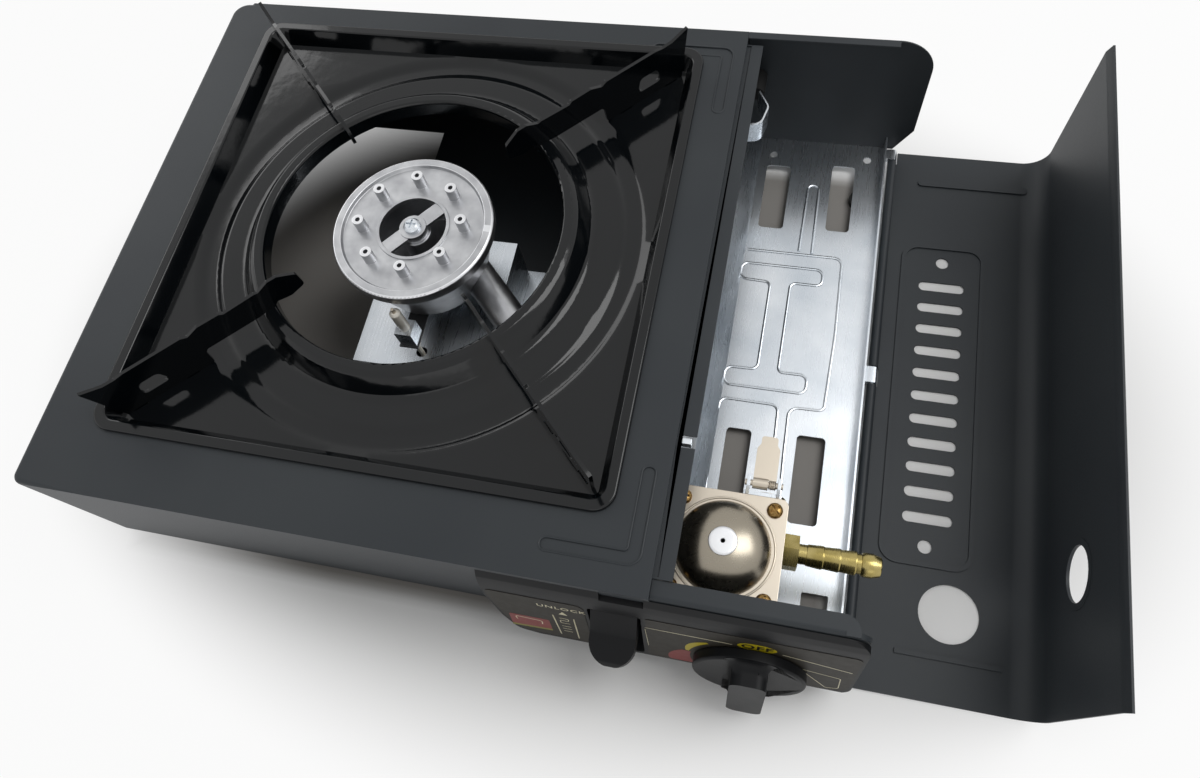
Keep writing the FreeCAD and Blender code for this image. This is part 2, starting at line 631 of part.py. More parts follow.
holder = Piece("jet_holder")
holder.pad("YZ_Plane", s.tube_x + 2.5, s.tube_x + 3.5, [
    (s.tube_y, s.tube_z, s.tube_r + 1.1), (s.tube_y, s.tube_z, 4.0)])
holder.pad("YZ_Plane", s.tube_x, s.tube_x + 2.5, [
    box(s.tube_y - 8.6, s.tube_y - 7.8, s.tube_z - 2.0, s.tube_z + 2.0),
    box(s.tube_y + 7.8, s.tube_y + 8.6, s.tube_z - 2.0, s.tube_z + 2.0)])
holder.put(s.ax, s.ay, 0.0, (0, 0, -1), 45.0)

jet = Piece("gas_jet")
jet.pad("YZ_Plane", s.tube_x + 1.0, s.jet_x, [(s.tube_y, s.tube_z, 4.0)])
jet.pad("YZ_Plane", s.tube_x - 3.0, s.tube_x + 1.0, [(s.tube_y, s.tube_z, 2.0)])
jet.put(s.ax, s.ay, 0.0, (0, 0, -1), 45.0)

half_turn = math.sqrt(0.5)
pipe_start = V(s.ax.value + half_turn * (s.jet_x.value + s.tube_y.value),
               s.ay.value + half_turn * (s.tube_y.value - s.jet_x.value), s.tube_z.value)
pipe_corner = pipe_start + V(1, -1, 0) * (pipe_start.y - s.pipe_y.value)
pipe_end = V(s.reg_x.value - s.reg_half.value, s.pipe_y.value, s.tube_z.value)
rod_along(bent_path([pipe_start, pipe_corner, pipe_end], [s.pipe_bend.value]), s.pipe_r.value, "gas_pipe")

cap = Piece("burner_cap")
cap.turn([(15.0, 76.0), (31.5, 76.0), (31.5, s.bowl_z1), (s.cap_r, s.bowl_z1), (s.cap_r, s.cap_z - 0.8),
          (s.cap_r - 0.8, s.cap_z), (32.2, s.cap_z), (31.5, 77.4), (16.5, 77.4), (16.5, 78.2),
          (15.0, 78.2)])
cap.pad("XY_Plane", 76.0, 77.6, [box(-15.6, 15.6, -3.5, 3.5)])
cap.pad("XY_Plane", s.bowl_z1, 78.2, [(0.0, 0.0, 6.0)])
cap.cut("XY_Plane", s.bowl_z1, 78.2, [(0.0, 0.0, 2.0)])
cap.pad("XY_Plane", 77.4, 84.0, [(23.0 * math.cos(math.radians(-44.0)), 23.0 * math.sin(math.radians(-44.0)), 2.6)])
cap.around(8)
cap.cut("XY_Plane", 80.0, 84.0, [(23.0 * math.cos(math.radians(-44.0)), 23.0 * math.sin(math.radians(-44.0)), 1.0)])
cap.around(8)
cap.put(s.ax, s.ay, 0.0, (0, 0, 1), 51.0)

screw = Piece("burner_screw")
screw.turn([(0.0, 62.0), (2.0, 62.0), (2.0, 78.2), (3.75, 78.2), (3.75, 79.4), (2.6, 80.6), (0.0, 80.6)])
screw.cut("XY_Plane", 79.4, 80.6, [[
    (-2.2, -0.4), (-0.4, -0.4), (-0.4, -2.2), (0.4, -2.2), (0.4, -0.4), (2.2, -0.4),
    (2.2, 0.4), (0.4, 0.4), (0.4, 2.2), (-0.4, 2.2), (-0.4, 0.4), (-2.2, 0.4)]])
screw.put(s.ax, s.ay)

# Spark electrode and its wire
strip = Piece("electrode_strip")
strip.pad("XY_Plane", s.bowl_z0 - 1.0, s.bowl_z0, [
    box(s.ax - 4.5, s.ax + 4.5, s.el_y - 5.0, s.ay - 11.0), (s.ax, s.el_y, s.cer_r)])
strip.put()
block = Piece("electrode_block")
block.pad("XY_Plane", s.bowl_z0, 56.0, [square(s.ax, s.el_y, 4.0), (s.ax, s.el_y, s.cer_r)])
block.put()
ceramic = Piece("electrode_ceramic")
ceramic.turn([(0.0, 40.0), (s.cer_r, 40.0), (s.cer_r, 69.0), (s.cer_r - 1.0, 70.0),
              (s.rod_r, 70.0), (s.rod_r, 43.0), (0.0, 43.0)])
ceramic.put(s.ax, s.el_y)
spark = Piece("electrode_rod")
spark.pad("XY_Plane", 43.0, 72.5, [(0.0, 0.0, s.rod_r)])
spark.put(s.ax, s.el_y)

wire_z = 22.5
wire_points = [V(s.par_x.value + s.sheet.value, 10.0, wire_z), V(160.0, 10.0, wire_z),
               V(s.ax.value, s.el_y.value, wire_z), V(s.ax.value, s.el_y.value, 40.0)]
rod_along(bent_path(wire_points, [54.0, 7.8]), 1.2, "igniter_wire")

piezo = Piece("piezo_igniter")
piezo.pad("YZ_Plane", par_in, s.reg_x, [(10.0, wire_z, 5.0)])
piezo.cut("YZ_Plane", 277.0, s.reg_x, [(10.0, wire_z, 2.5 + s.run)])
piezo.put()
plunger = Piece("igniter_plunger")
plunger.pad("YZ_Plane", 281.0, 294.0, [(10.0, wire_z, 2.5)])
plunger.put()

# Regulator
housing = Piece("regulator_core")
housing.pad("XY_Plane", s.reg_z0, s.reg_z1, [square(s.reg_x, s.reg_y, s.reg_half, 3.0)])
housing.pad("XY_Plane", 21.0, s.reg_z0, [box(299.0, 308.0, 15.0, 27.0)])
tilt_rad = math.radians(90.0 - s.tilt.value)
bore = doc.addObject("Part::Cylinder", "valve_bore")
bind(bore, "Radius", s.stub_r)
bind(bore, "Height", 60.0)
bore.Placement = FreeCAD.Placement(V(), FreeCAD.Rotation(V(1, 0, 0), knob_turned.value))
bind(bore, "Placement.Rotation.Angle", knob_turned)
bind(bore, "Placement.Base.x", s.knob_x)
bind(bore, "Placement.Base.y", s.knob_y + 49.256)
bind(bore, "Placement.Base.z", s.knob_z - 8.591)
regulator = doc.addObject("Part::Cut", "regulator_body")
regulator.Base = housing.body
regulator.Tool = bore
place(regulator)
OUT["regulator_body"] = regulator

stub = Piece("valve_stub")
stub.pad("XY_Plane", -40.0, -24.0, [(0.0, 0.0, s.stub_r)])
stub.cut("XY_Plane", -38.0, -24.0, [(0.0, 0.0, s.spin_r + s.run)])
stub.put(s.knob_x, s.knob_y, s.knob_z, (1, 0, 0), knob_turned)

diaphragm = Piece("diaphragm")
diaphragm.pad("XY_Plane", s.reg_z1, s.reg_z1 + s.dia_t, [(0.0, 0.0, s.dome_r)])
diaphragm.put(s.reg_x, s.reg_y)
plate = Piece("regulator_plate")
plate.pad("XY_Plane", s.reg_z1 + s.dia_t, reg_top, [square(0.0, 0.0, s.plate_half, 3.0)])
for x, y in ((-1, -1), (1, -1), (1, 1), (-1, 1)):
    plate.cut("XY_Plane", s.reg_z1 + s.dia_t, reg_top, [(s.scr_at * x, s.scr_at * y, 1.5)])
plate.put(s.reg_x, s.reg_y)
dome = Piece("regulator_dome")
dome.turn([(17.2, 0.0), (s.dome_r, 0.0), (s.dome_r - 0.6, 2.6), (15.4, 5.6), (12.0, 8.2), (8.4, 9.9),
           (s.dome_cap, s.dome_h - 1.0), (0.0, s.dome_h - 1.0), (0.0, s.dome_h - 2.2),
           (5.4, 9.5), (8.0, 8.8), (11.2, 7.2), (14.4, 4.8), (16.6, 2.2)])
dome.put(s.reg_x, s.reg_y, reg_top)
spring_cap = Piece("spring_cap")
spring_cap.turn([(0.0, 0.0), (s.dome_cap, 0.0), (s.dome_cap, 0.6), (s.dome_cap - 0.4, 1.0), (0.6, 1.0),
                 (0.6, 0.6), (0.0, 0.6)])
spring_cap.put(s.reg_x, s.reg_y, reg_top + s.dome_h - 1.0)

screws = []
for x, y in ((-1, -1), (1, -1), (1, 1), (-1, 1)):
    head = doc.addObject("Part::Cylinder", "screw_head")
    bind(head, "Radius", 3.1)
    bind(head, "Height", 1.9)
    bind(head, "Placement.Base.z", reg_top)
    shank = doc.addObject("Part::Cylinder", "screw_shank")
    bind(shank, "Radius", 1.5)
    bind(shank, "Height", reg_top - s.reg_z1)
    bind(shank, "Placement.Base.z", s.reg_z1)
    both = doc.addObject("Part::Fuse", "screw")
    both.Base = head
    both.Tool = shank
    bind(both, "Placement.Base.x", s.reg_x + s.scr_at * x)
    bind(both, "Placement.Base.y", s.reg_y + s.scr_at * y)
    screws.append(both)
together("regulator_screws", screws)

nipple = Piece("hose_nipple")
flat = 6.25
point = flat / math.cos(math.radians(30.0))
nipple.pad("XY_Plane", 0.0, 8.5, [[
    (point * math.cos(math.radians(60.0 * k)), point * math.sin(math.radians(60.0 * k))) for k in range(6)]])
nipple.turn([(1.8, 0.0), (3.4, 0.0), (3.4, 11.0), (4.7, 11.0), (s.nip_r, 30.5), (3.9, 30.5), (3.9, 32.6),
             (s.nip_r, 32.6), (s.nip_r, 36.6), (3.8, s.nip_l), (1.8, s.nip_l)])
nipple.cut("XY_Plane", 2.0, 8.5, [(0.0, 0.0, 1.8)])
nipple.put(s.reg_x + s.reg_half, s.nip_y, s.nip_z, (0, 1, 0), 90.0)

socket = Piece("inlet_socket")
socket.pad("XY_Plane", 0.0, s.inl_l, [(0.0, 0.0, 8.0), (0.0, 0.0, s.inl_r)])
socket.put(s.inl_x, s.reg_y + s.reg_half, s.inl_z, (-1, 0, 0), 90.0)
collar = Piece("inlet_collar")
collar.pad("XY_Plane", 0.0, 5.5, [(0.0, 0.0, s.col_r), (0.0, 0.0, 8.0)])
collar.put(s.inl_x, s.reg_y + s.reg_half, s.inl_z, (-1, 0, 0), 90.0)
pin = Piece("pressure_pin")
pin.pad("XY_Plane", 0.0, 5.0, [(0.0, 0.0, 1.0)])
pin.put(s.inl_x, s.reg_y + s.reg_half, s.inl_z, (-1, 0, 0), 90.0)

# Sprung tongue over the inlet
ears = Piece("tongue_bracket")
plate_y = s.reg_y + s.plate_half
ears.pad("XY_Plane", s.reg_z1 + s.dia_t, reg_top, [box(293.0, 307.6, plate_y, plate_y + 1.6)])
for x in (293.8, 305.6):
    ears.pad("YZ_Plane", x, x + 1.3, [[
        (plate_y, s.reg_z1 + s.dia_t), (s.ton_y + 2.6, s.reg_z1 + s.dia_t), (s.ton_y + 2.6, s.ton_z + 2.4),
        (s.ton_y - 2.0, s.ton_z + 2.4), (plate_y, reg_top)]])
    ears.cut("YZ_Plane", x, x + 1.3, [(s.ton_y, s.ton_z, s.ton_r)])
ears.put()
ton_pin = Piece("tongue_pin")
ton_pin.pad("YZ_Plane", 293.0, 307.7, [(s.ton_y, s.ton_z, s.ton_r)])
ton_pin.put()
tongue = Piece("guide_tongue")
tongue.pad("YZ_Plane", 296.0, 301.9, [(0.0, 0.0, 2.2)])
tongue.pad("XY_Plane", -2.2, -1.2, [[
    (296.0, 0.0), (302.0, 0.0), (302.0, 2.2), (305.0, 2.2), (305.0, 15.0, 1.0), (303.8, 17.0, 0.6), (303.8, 20.3, 1.2),
    (297.3, 20.3, 1.2), (297.3, 17.0, 0.6), (296.0, 15.0, 1.0)]])
tongue.cut("YZ_Plane", 296.0, 305.0, [(0.0, 0.0, s.ton_r + s.run)])
tongue.put(0.0, s.ton_y, s.ton_z)
coil = Piece("tongue_spring")
teeth = [(1.5, 302.2)]
for k in range(4):
    teeth.append((1.9, 302.45 + 0.7 * k))
    teeth.append((1.6, 302.8 + 0.7 * k))
coil.turn([(a, b - 302.2) for a, b in teeth] + [(1.5, 2.7)])
coil.put(302.2, s.ton_y, s.ton_z, (0, 1, 0), 90.0)

bumper = Piece("canister_bumper")
bumper.pad("XZ_Plane", 251.0, s.cas_y - wall, [(272.0, 50.0, 4.0)])
bumper.put()
clip = Piece("bumper_clip")
clip.pad("XY_Plane", 44.0, 56.0, [[
    (par_in, 222.0), (par_in + 0.8, 222.0), (par_in + 0.8, 226.0, 1.0), (277.0, 228.0, 5.0),
    (279.6, 239.0, 5.0), (274.0, 248.0), (273.3, 247.4), (278.6, 239.0, 4.0), (276.4, 229.0, 4.0),
    (par_in, 227.0)]])
clip.put()

# Locking linkage on the partition's left face
crank_z = s.stem_z - s.lev_run / 2.0
pivot = Piece("crank_pivot")
pivot.pad("YZ_Plane", 258.2, s.par_x, [(s.piv_y, crank_z, 2.0)])
pivot.pad("YZ_Plane", 257.4, 258.2, [(s.piv_y, crank_z, 3.2)])
pivot.put()
front_r = s.arm_f / math.cos(math.radians(s.swing.value))
side_r = s.arm_s / math.cos(math.radians(s.swing.value))
crank = Piece("lock_crank")
crank.pad("YZ_Plane", 258.8, 260.2, [[
    (-front_r - 2.8, 3.4, 1.5), (-front_r - 2.8, -3.4, 1.5), (-3.2, -3.4), (-3.2, -side_r - 3.0, 1.5),
    (3.2, -side_r - 3.0, 1.5), (3.2, 3.4, 2.0)]])
crank.cut("YZ_Plane", 258.8, 260.2, [
    (0.0, 0.0, 2.0 + s.run),
    box(-front_r - 1.75, -s.arm_f + 1.75, -1.75, 1.75), box(-1.3, 1.3, -side_r - 1.4, -s.arm_s + 1.4)])
crank.put(0.0, s.piv_y, crank_z, (-1, 0, 0), s.swing)
slide_y = s.piv_y - 3.494
slide = Piece("lock_slide")
slide.pad("YZ_Plane", 260.5, 261.7, [[
    (slide_y - 3.0, 25.0), (66.0, 25.0), (66.0, 72.6), (60.5, 72.6), (60.5, 31.0), (slide_y - 3.0, 31.0)]])
slide.pad("YZ_Plane", 258.4, 260.5, [(slide_y, crank_z - s.arm_s, 1.1)])
slide.pad("YZ_Plane", 261.7, 271.4, [box(60.5, 63.0, 68.6, 72.6)])
slide.put()
clips = []
for y in (42.0, 54.0):
    keeper = Piece("slide_keeper")
    keeper.pad("XZ_Plane", y, y + 4.0, [[
        (258.6, 23.4), (s.par_x, 23.4), (s.par_x, 24.6), (260.0, 24.6), (260.0, 31.4),
        (s.par_x, 31.4), (s.par_x, 32.6), (258.6, 32.6)]])
    clips.append(keeper.body)
together("slide_guides", clips)

carrier = Piece("lever_carrier")
carrier.pad("XZ_Plane", 1.2, 7.8, [box(248.0, 256.6, s.stem_z - 5.0, s.stem_z + 5.0, 1.0)])
carrier.pad("YZ_Plane", 256.6, 260.8, [(s.piv_y - s.arm_f, s.stem_z, 1.5)])
carrier.put()
lever = Piece("lock_lever")
lever.pad("XY_Plane", s.lev_z - 20.0, s.lev_z, [[
    (s.lev_x0, -1.4), (s.lev_x0, -22.0, 8.6), (s.lev_x1, -22.0, 8.6), (s.lev_x1, -1.4)]])
lever.cut("YZ_Plane", s.lev_x0 - 1.0, s.lev_x1 + 1.0, [
    box(-24.0, 0.0, s.lev_z - 24.0, s.lev_z + 4.0),
    [(-1.4, s.lev_z - 14.5), (-1.4, s.lev_z), (-4.0, s.lev_z, 1.2), (-10.5, s.lev_z - 9.5, 3.0),
     (-20.5, s.lev_z - 14.2, 1.5), (-22.0, s.lev_z - 16.4, 0.8), (-21.0, s.lev_z - 18.2, 0.8),
     (-12.0, s.lev_z - 17.5, 3.0), (-6.0, s.lev_z - 14.5, 2.0)]])
lever.pad("XZ_Plane", -1.4, 1.2, [box(250.5, 257.0, s.stem_z - s.stem_h / 2.0, s.stem_z + s.stem_h / 2.0)])
lever.put()

# Drip pan and its four supports, from the burner axis and the casing's top
pan = Piece("drip_pan")
pan.pad("XY_Plane", 0.0, s.rim_z, [square(0.0, 0.0, s.pan_half, s.pan_r)])
pan.pad_down(0.0, -s.pan_deep - wall, [square(0.0, 0.0, s.pan_low, 6.5)], -s.draft)
pan.cut_down(s.rim_z, -s.pan_deep, [square(0.0, 0.0, s.pan_in, 5.5)], -s.draft)
low = -s.pan_deep - s.ring_deep
pan.turn([(s.ring_r0 - 1.2, -s.pan_deep - wall), (s.ring_r0 + 3.2, low - 0.6, 5.0),
          (s.ring_r1 - 4.4, low - wall, 6.0), (s.ring_r1 + 1.2, -s.pan_deep - wall)])
pan.groove([(s.ring_r0, -s.pan_deep), (s.ring_r0 + 4.0, low + 0.2, 5.0),
            (s.ring_r1 - 5.2, low, 6.0), (s.ring_r1, -s.pan_deep)])
pan.cut("XY_Plane", -s.pan_deep - wall, -s.pan_deep, [(0.0, 0.0, 79.4)])
pan.turn([(82.0, -s.pan_deep), (78.5, 0.4 - s.pan_deep, 4.0), (73.0, s.collar_z - 1.4, 2.5),
          (70.8, s.collar_z, 1.5), (s.pan_hole + 0.7, s.collar_z, 1.2), (s.pan_hole, s.collar_z - 1.4, 1.0),
          (s.pan_hole, s.collar_in), (s.pan_hole + wall, s.collar_in), (s.pan_hole + wall, s.collar_z - 1.6, 0.5),
          (s.pan_hole + 1.5, s.collar_z - wall, 0.4), (70.3, s.collar_z - wall, 0.8),
          (72.2, s.collar_z - 2.0, 1.5), (77.8, -s.pan_deep - 0.5, 3.0), (82.0, -s.pan_deep - wall)])
corner = math.sqrt(0.5)
for radius in (112.0, 137.0):
    half_l = s.tab_l / 2.0 + s.slot_gap
    half_t = s.sup_t / 2.0 + s.slot_gap
    a = (half_l + half_t) * corner
    b = (half_l - half_t) * corner
    m = radius * corner
    pan.cut("XY_Plane", -s.pan_deep - wall, -s.pan_deep, [[
        (m - a, m - b), (m - b, m - a), (m + a, m + b), (m + b, m + a)]])
    pan.around(4)
pan.round_edges(1.0, lambda b: abs(b.ZMin - s.rim_z.value) < 1e-6 and abs(b.ZMax - s.rim_z.value) < 1e-6)
pan.put(s.ax, s.ay, s.top_z)

SUPPORTS = (("front_right", 315.0), ("back_right", 45.0), ("back_left", 135.0), ("front_left", 225.0))
for name, angle in SUPPORTS:
    arm = Piece("pan_support_" + name)
    floor = -s.pan_deep
    arm.pad("XZ_Plane", -s.sup_t / 2.0, s.sup_t / 2.0, [[
        (147.4, s.horn_z), (139.0, 17.9), (134.0, 17.7, 1.5), (130.0, s.arm_z, 1.5), (104.0, s.arm_z, 1.0),
        (101.5, 17.0, 0.6), (96.0, 19.2, 1.0), (86.0, 19.0, 0.8), (84.6, 17.8, 0.5), (70.0, 18.4, 0.8),
        (68.6, 17.9, 0.5), (63.0, 20.6, 1.2), (58.6, 20.5, 2.0), (51.6, 16.0, 2.5), (51.2, 8.2, 2.0),
        (58.3, 6.0, 2.0), (64.8, 7.3, 0.6), (67.0, 5.0), (70.8, 5.0), (75.5, 4.5, 0.6), (99.6, 4.5, 1.0),
        (101.0, 3.0, 1.0), (101.6, floor + 0.6, 0.5), (102.2, floor), (143.0, floor)]])
    arm.cut("XZ_Plane", -s.sup_t / 2.0, s.sup_t / 2.0, [[
        (119.0, 0.6, 2.0), (121.0, 8.0, 2.5), (130.0, 8.0, 2.5), (132.0, 0.6, 2.0)]])
    arm.pad("XZ_Plane", -s.sup_t / 2.0, s.sup_t / 2.0, [
        box(112.0 - s.tab_l / 2.0, 112.0 + s.tab_l / 2.0, floor - 2.6, floor),
        box(137.0 - s.tab_l / 2.0, 137.0 + s.tab_l / 2.0, floor - 2.6, floor)])
    arm.put(s.ax, s.ay, s.top_z, (0, 0, 1), angle)

# Knob and spindle, local z points out of the panel
knob = Piece("knob")
knob.pad("XY_Plane", 0.6, 0.6 + s.knob_t, [(0.0, 0.0, s.knob_r)])
knob.round_edges(1.2, lambda b: abs(b.ZMin - 0.6 - s.knob_t.value) < 1e-6 and abs(b.ZMax - 0.6 - s.knob_t.value) < 1e-6)
knob.pad("XY_Plane", 0.6, s.grip_h, [box(-s.grip_w / 2.0, s.grip_w / 2.0, -s.grip_l / 2.0, s.grip_l / 2.0, 3.5)])
knob.cut("XY_Plane", 0.6, 6.0, [(0.0, 0.0, s.spin_r)])
knob.put(s.knob_x, s.knob_y, s.knob_z, (1, 0, 0), knob_turned)

spindle = Piece("valve_spindle")
spindle.pad("XY_Plane", -37.0, 6.0, [(0.0, 0.0, s.spin_r)])
spiral = []
for step in range(0, 11):
    ang = math.radians(180.0 - 10.0 * step)
    reach = s.cam_r + s.cam_rise * (step / 10.0)
    spiral.append((reach * math.cos(ang), reach * math.sin(ang)))
for step in range(0, 8):
    ang = math.radians(70.0 - 30.0 * step)
    spiral.append((8.0 * math.cos(ang), 8.0 * math.sin(ang)))
spindle.pad("XY_Plane", -22.5, -17.5, [spiral])
spindle.put(s.knob_x, s.knob_y, s.knob_z, (1, 0, 0), knob_turned)

# Lid, shown open with its inside up
lid = Piece("lid")
lid.pad("XZ_Plane", s.lid_y0, s.lid_y1, [[
    (s.hx, 0.0), (s.lid_x, 0.0, s.lid_bend), (s.lid_x, s.lid_z - 4.0), (s.lid_x + s.flare, s.lid_z),
    (s.lid_x + s.flare - wall, s.lid_z), (s.lid_x - wall, s.lid_z - 3.9),
    (s.lid_x - wall, wall, s.lid_bend - wall), (s.hx, wall)]])
KNUCKLES = [(8.6, 127.4), (136.6, 255.4)]
for low, high in KNUCKLES:
    lid.pad("XZ_Plane", low, high, [(s.hx, s.hz, s.knuckle)])
    lid.cut("XZ_Plane", low, high, [(s.hx, s.hz, s.rod_h + s.run)])
for low, high in LUGS:
    lid.cut("XY_Plane", 0.0, wall, [box(s.hx, s.hx + 2.8, low - 0.6, high + 0.6)])
lid.pad("XY_Plane", wall, 2.0 * wall, [
    box(357.5, 410.0, 243.0, 247.0, 1.9),
    box(352.5, 391.5, 46.5, 207.7, 8.0), box(354.5, 389.5, 48.5, 205.7, 6.0)])
lid.pad("XY_Plane", wall, 2.0 * wall, [box(362.0, 404.0, 9.0, 11.0)])
lid.cut("XY_Plane", 0.0, wall, [(382.7, 28.5, 12.2)])
lid.cut("XY_Plane", 0.0, wall, [(371.8, 198.2, 3.0), (371.7, 55.4, 3.0)])
lid.cut("XY_Plane", 0.0, wall, [
    box(361.5, 382.5, 184.5 - 11.65 * k - 2.5, 184.5 - 11.65 * k + 2.5, 2.4) for k in range(11)])
lid.pad("YZ_Plane", s.lid_x - 1.5 * wall, s.lid_x - wall, [(43.1, 42.9, 13.4)])
lid.cut("YZ_Plane", s.lid_x - 1.5 * wall, s.lid_x, [(43.1, 42.9, 10.8)])
lid.put()

doc.recompute()

# Every step must have worked before anything is written
for item in doc.Objects:
    for word in item.State:
        if word in ("Invalid", "Error"):
            raise RuntimeError("%s %s: %s" % (item.Name, item.Label, item.State))
for label, before, step in CHECKED:
    removed = before.Shape.Volume - step.Shape.Volume
    if removed < 1e-3:
        raise RuntimeError("a cut in %s removes nothing" % label)
for label, item in OUT.items():
    if item.Shape.isNull() or not item.Shape.isValid():
        raise RuntimeError("bad shape: " + label)
    item.Shape.exportStep("parts/%s.step" % label)
    b = item.Shape.BoundBox
    print("%-26s %2d solids %9.1f  x %.1f %.1f  y %.1f %.1f  z %.1f %.1f" % (
        label, len(item.Shape.Solids), item.Shape.Volume, b.XMin, b.XMax, b.YMin, b.YMax, b.ZMin, b.ZMax))
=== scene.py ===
import json
import math
import bpy
from mathutils import Matrix, Vector


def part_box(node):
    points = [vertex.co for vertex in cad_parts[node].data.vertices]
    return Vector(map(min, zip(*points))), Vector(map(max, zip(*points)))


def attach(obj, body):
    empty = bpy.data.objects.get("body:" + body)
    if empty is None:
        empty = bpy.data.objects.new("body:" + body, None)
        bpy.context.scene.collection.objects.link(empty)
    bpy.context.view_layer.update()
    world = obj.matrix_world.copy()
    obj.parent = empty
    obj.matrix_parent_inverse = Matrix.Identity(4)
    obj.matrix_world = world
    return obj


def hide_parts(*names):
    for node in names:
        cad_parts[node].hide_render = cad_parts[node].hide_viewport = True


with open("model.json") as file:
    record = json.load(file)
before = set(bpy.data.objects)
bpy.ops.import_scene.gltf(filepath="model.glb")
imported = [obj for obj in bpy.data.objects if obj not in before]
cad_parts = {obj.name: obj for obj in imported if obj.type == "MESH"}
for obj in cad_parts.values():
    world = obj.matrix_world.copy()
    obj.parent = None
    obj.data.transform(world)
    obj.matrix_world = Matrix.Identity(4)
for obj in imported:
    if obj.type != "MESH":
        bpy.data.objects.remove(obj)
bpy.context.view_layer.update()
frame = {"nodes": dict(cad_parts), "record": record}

bl_info = {
    "name": "Cassette stove",
    "version": (1, 0, 0),
    "blender": (4, 2, 0),
    "location": "View3D > Sidebar > Stove",
    "description": "Builds a butane cassette stove with its lid open",
    "category": "Add Mesh",
}

# The left front lower corner of the casing, from which all places below are counted in millimetres
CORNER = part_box("casing_shell")[0]
SHIFT = Vector((CORNER[0], CORNER[1], 0.0))
BODY_OF = {}
for body_name, members in frame["record"]["behaviour"]["bodies"].items():
    for member in members:
        BODY_OF[member] = body_name

# Camera found from the photograph: place in millimetres, focal length for a 36 mm sensor
CAMERA_AT = (296.763, -48.568, 383.014)
CAMERA_LENS = 25.936
CAMERA_ROWS = (
    (0.97257928, 0.19869862, -0.12086522),
    (0.13594558, -0.90736542, -0.39775217),
    (-0.18870173, 0.37041442, -0.90949701),
)


# Sizes in millimetres that the pieces below share with the solids
CASING_TOP = 76.0
CASING_DEPTH = 264.0
CASING_WIDE = 266.0
FRONT_TOP = 73.0
FRONT_RIGHT = 344.0
SHEET = 0.8
TRAY_FLOOR = 3.8
FACE_TILT = math.radians(9.894)
FACE_UP = (0.0, math.sin(FACE_TILT), math.cos(FACE_TILT))
KNOB_AT = (304.5, -9.907, 26.0)
REGULATOR_AT = (288.3, 27.5)
REGULATOR_TOP = 55.3
NIPPLE_AT = (308.3, 33.0, 43.0)
INLET_AT = (302.0, 47.5, 38.5)
GRIP_WIDENING = 1.25
BURNER_AT = (136.5, 139.0)
# The fixed body's footprint on the table, in metres: how far its middle lies left of the frame's,
# and where the painted shade under it ends
BODY_LEFT = 0.038
BODY_SHADE_ENDS = (0.158, 0.166)
BODY_WIDE_TO_DEEP = 1.3
# Height of the prints and their lines over the films, in millimetres
PRINT_HIGH = 0.04
LINE_HIGH = 0.05
OFF_AT = (305.9, 36.3)


def at(x, y, z):
    """A point in millimetres from the casing's corner, in the frame's metres."""
    return Vector((x, y, z)) * 0.001 + SHIFT


def linear(code):
    """An sRGB hex colour as linear values."""
    parts = [int(code[k:k + 2], 16) / 255.0 for k in (1, 3, 5)]
    return tuple(v / 12.92 if v <= 0.04045 else ((v + 0.055) / 1.055) ** 2.4 for v in parts) + (1.0,)


def add(tree, kind, settings=None, values=None, links=None):
    """Adds a node, sets it and its sockets, and links its inputs."""
    node = tree.nodes.new(kind)
    for name, value in (settings or {}).items():
        setattr(node, name, value)
    for name, value in (values or {}).items():
        node.inputs[name].default_value = value
    for name, source in (links or {}).items():
        tree.links.new(source, node.inputs[name])
    return node


def surface(name, color, rough, metal=0.0, specular=0.5, coat=0.0, coat_rough=0.1):
    """A new material with its shader's constants set."""
    made = bpy.data.materials.new(name)
    made.use_nodes = True
    shader = made.node_tree.nodes["Principled BSDF"]
    shader.inputs["Base Color"].default_value = linear(color)
    shader.inputs["Roughness"].default_value = rough
    shader.inputs["Metallic"].default_value = metal
    shader.inputs["Specular IOR Level"].default_value = specular
    shader.inputs["Coat Weight"].default_value = coat
    shader.inputs["Coat Roughness"].default_value = coat_rough
    return made, made.node_tree, shader


def coordinates(tree):
    """The piece's own coordinates, in metres."""
    return add(tree, "ShaderNodeTexCoord").outputs["Object"]


def noise(tree, size_mm, detail=3.0, where=None, rough=0.5):
    """Noise whose grains are about size_mm across."""
    return add(tree, "ShaderNodeTexNoise", None,
               {"Scale": 1000.0 / size_mm, "Detail": detail, "Roughness": rough},
               {"Vector": where or coordinates(tree)}).outputs["Fac"]


def mottle(tree, shader, fac, dark, light):
    """Lets the colour wander between two tones."""
    ramp = add(tree, "ShaderNodeValToRGB", None, None, {"Fac": fac})
    ramp.color_ramp.elements[0].position = 0.3
    ramp.color_ramp.elements[1].position = 0.7
    ramp.color_ramp.elements[0].color = linear(dark)
    ramp.color_ramp.elements[1].color = linear(light)
    tree.links.new(ramp.outputs["Color"], shader.inputs["Base Color"])


def bump(tree, shader, height, depth_mm, strength=1.0, before=None):
    """Relief of the given depth, on top of an earlier one if there is one."""
    links = {"Height": height}
    if before is not None:
        links["Normal"] = before
    node = add(tree, "ShaderNodeBump", None, {"Strength": strength, "Distance": depth_mm * 0.001}, links)
    tree.links.new(node.outputs["Normal"], shader.inputs["Normal"])
    return node.outputs["Normal"]


def vary(tree, shader, fac, low, high):
    """Lets the roughness wander between two values."""
    node = add(tree, "ShaderNodeMapRange", None, {"To Min": low, "To Max": high}, {"Value": fac})
    tree.links.new(node.outputs["Result"], shader.inputs["Roughness"])


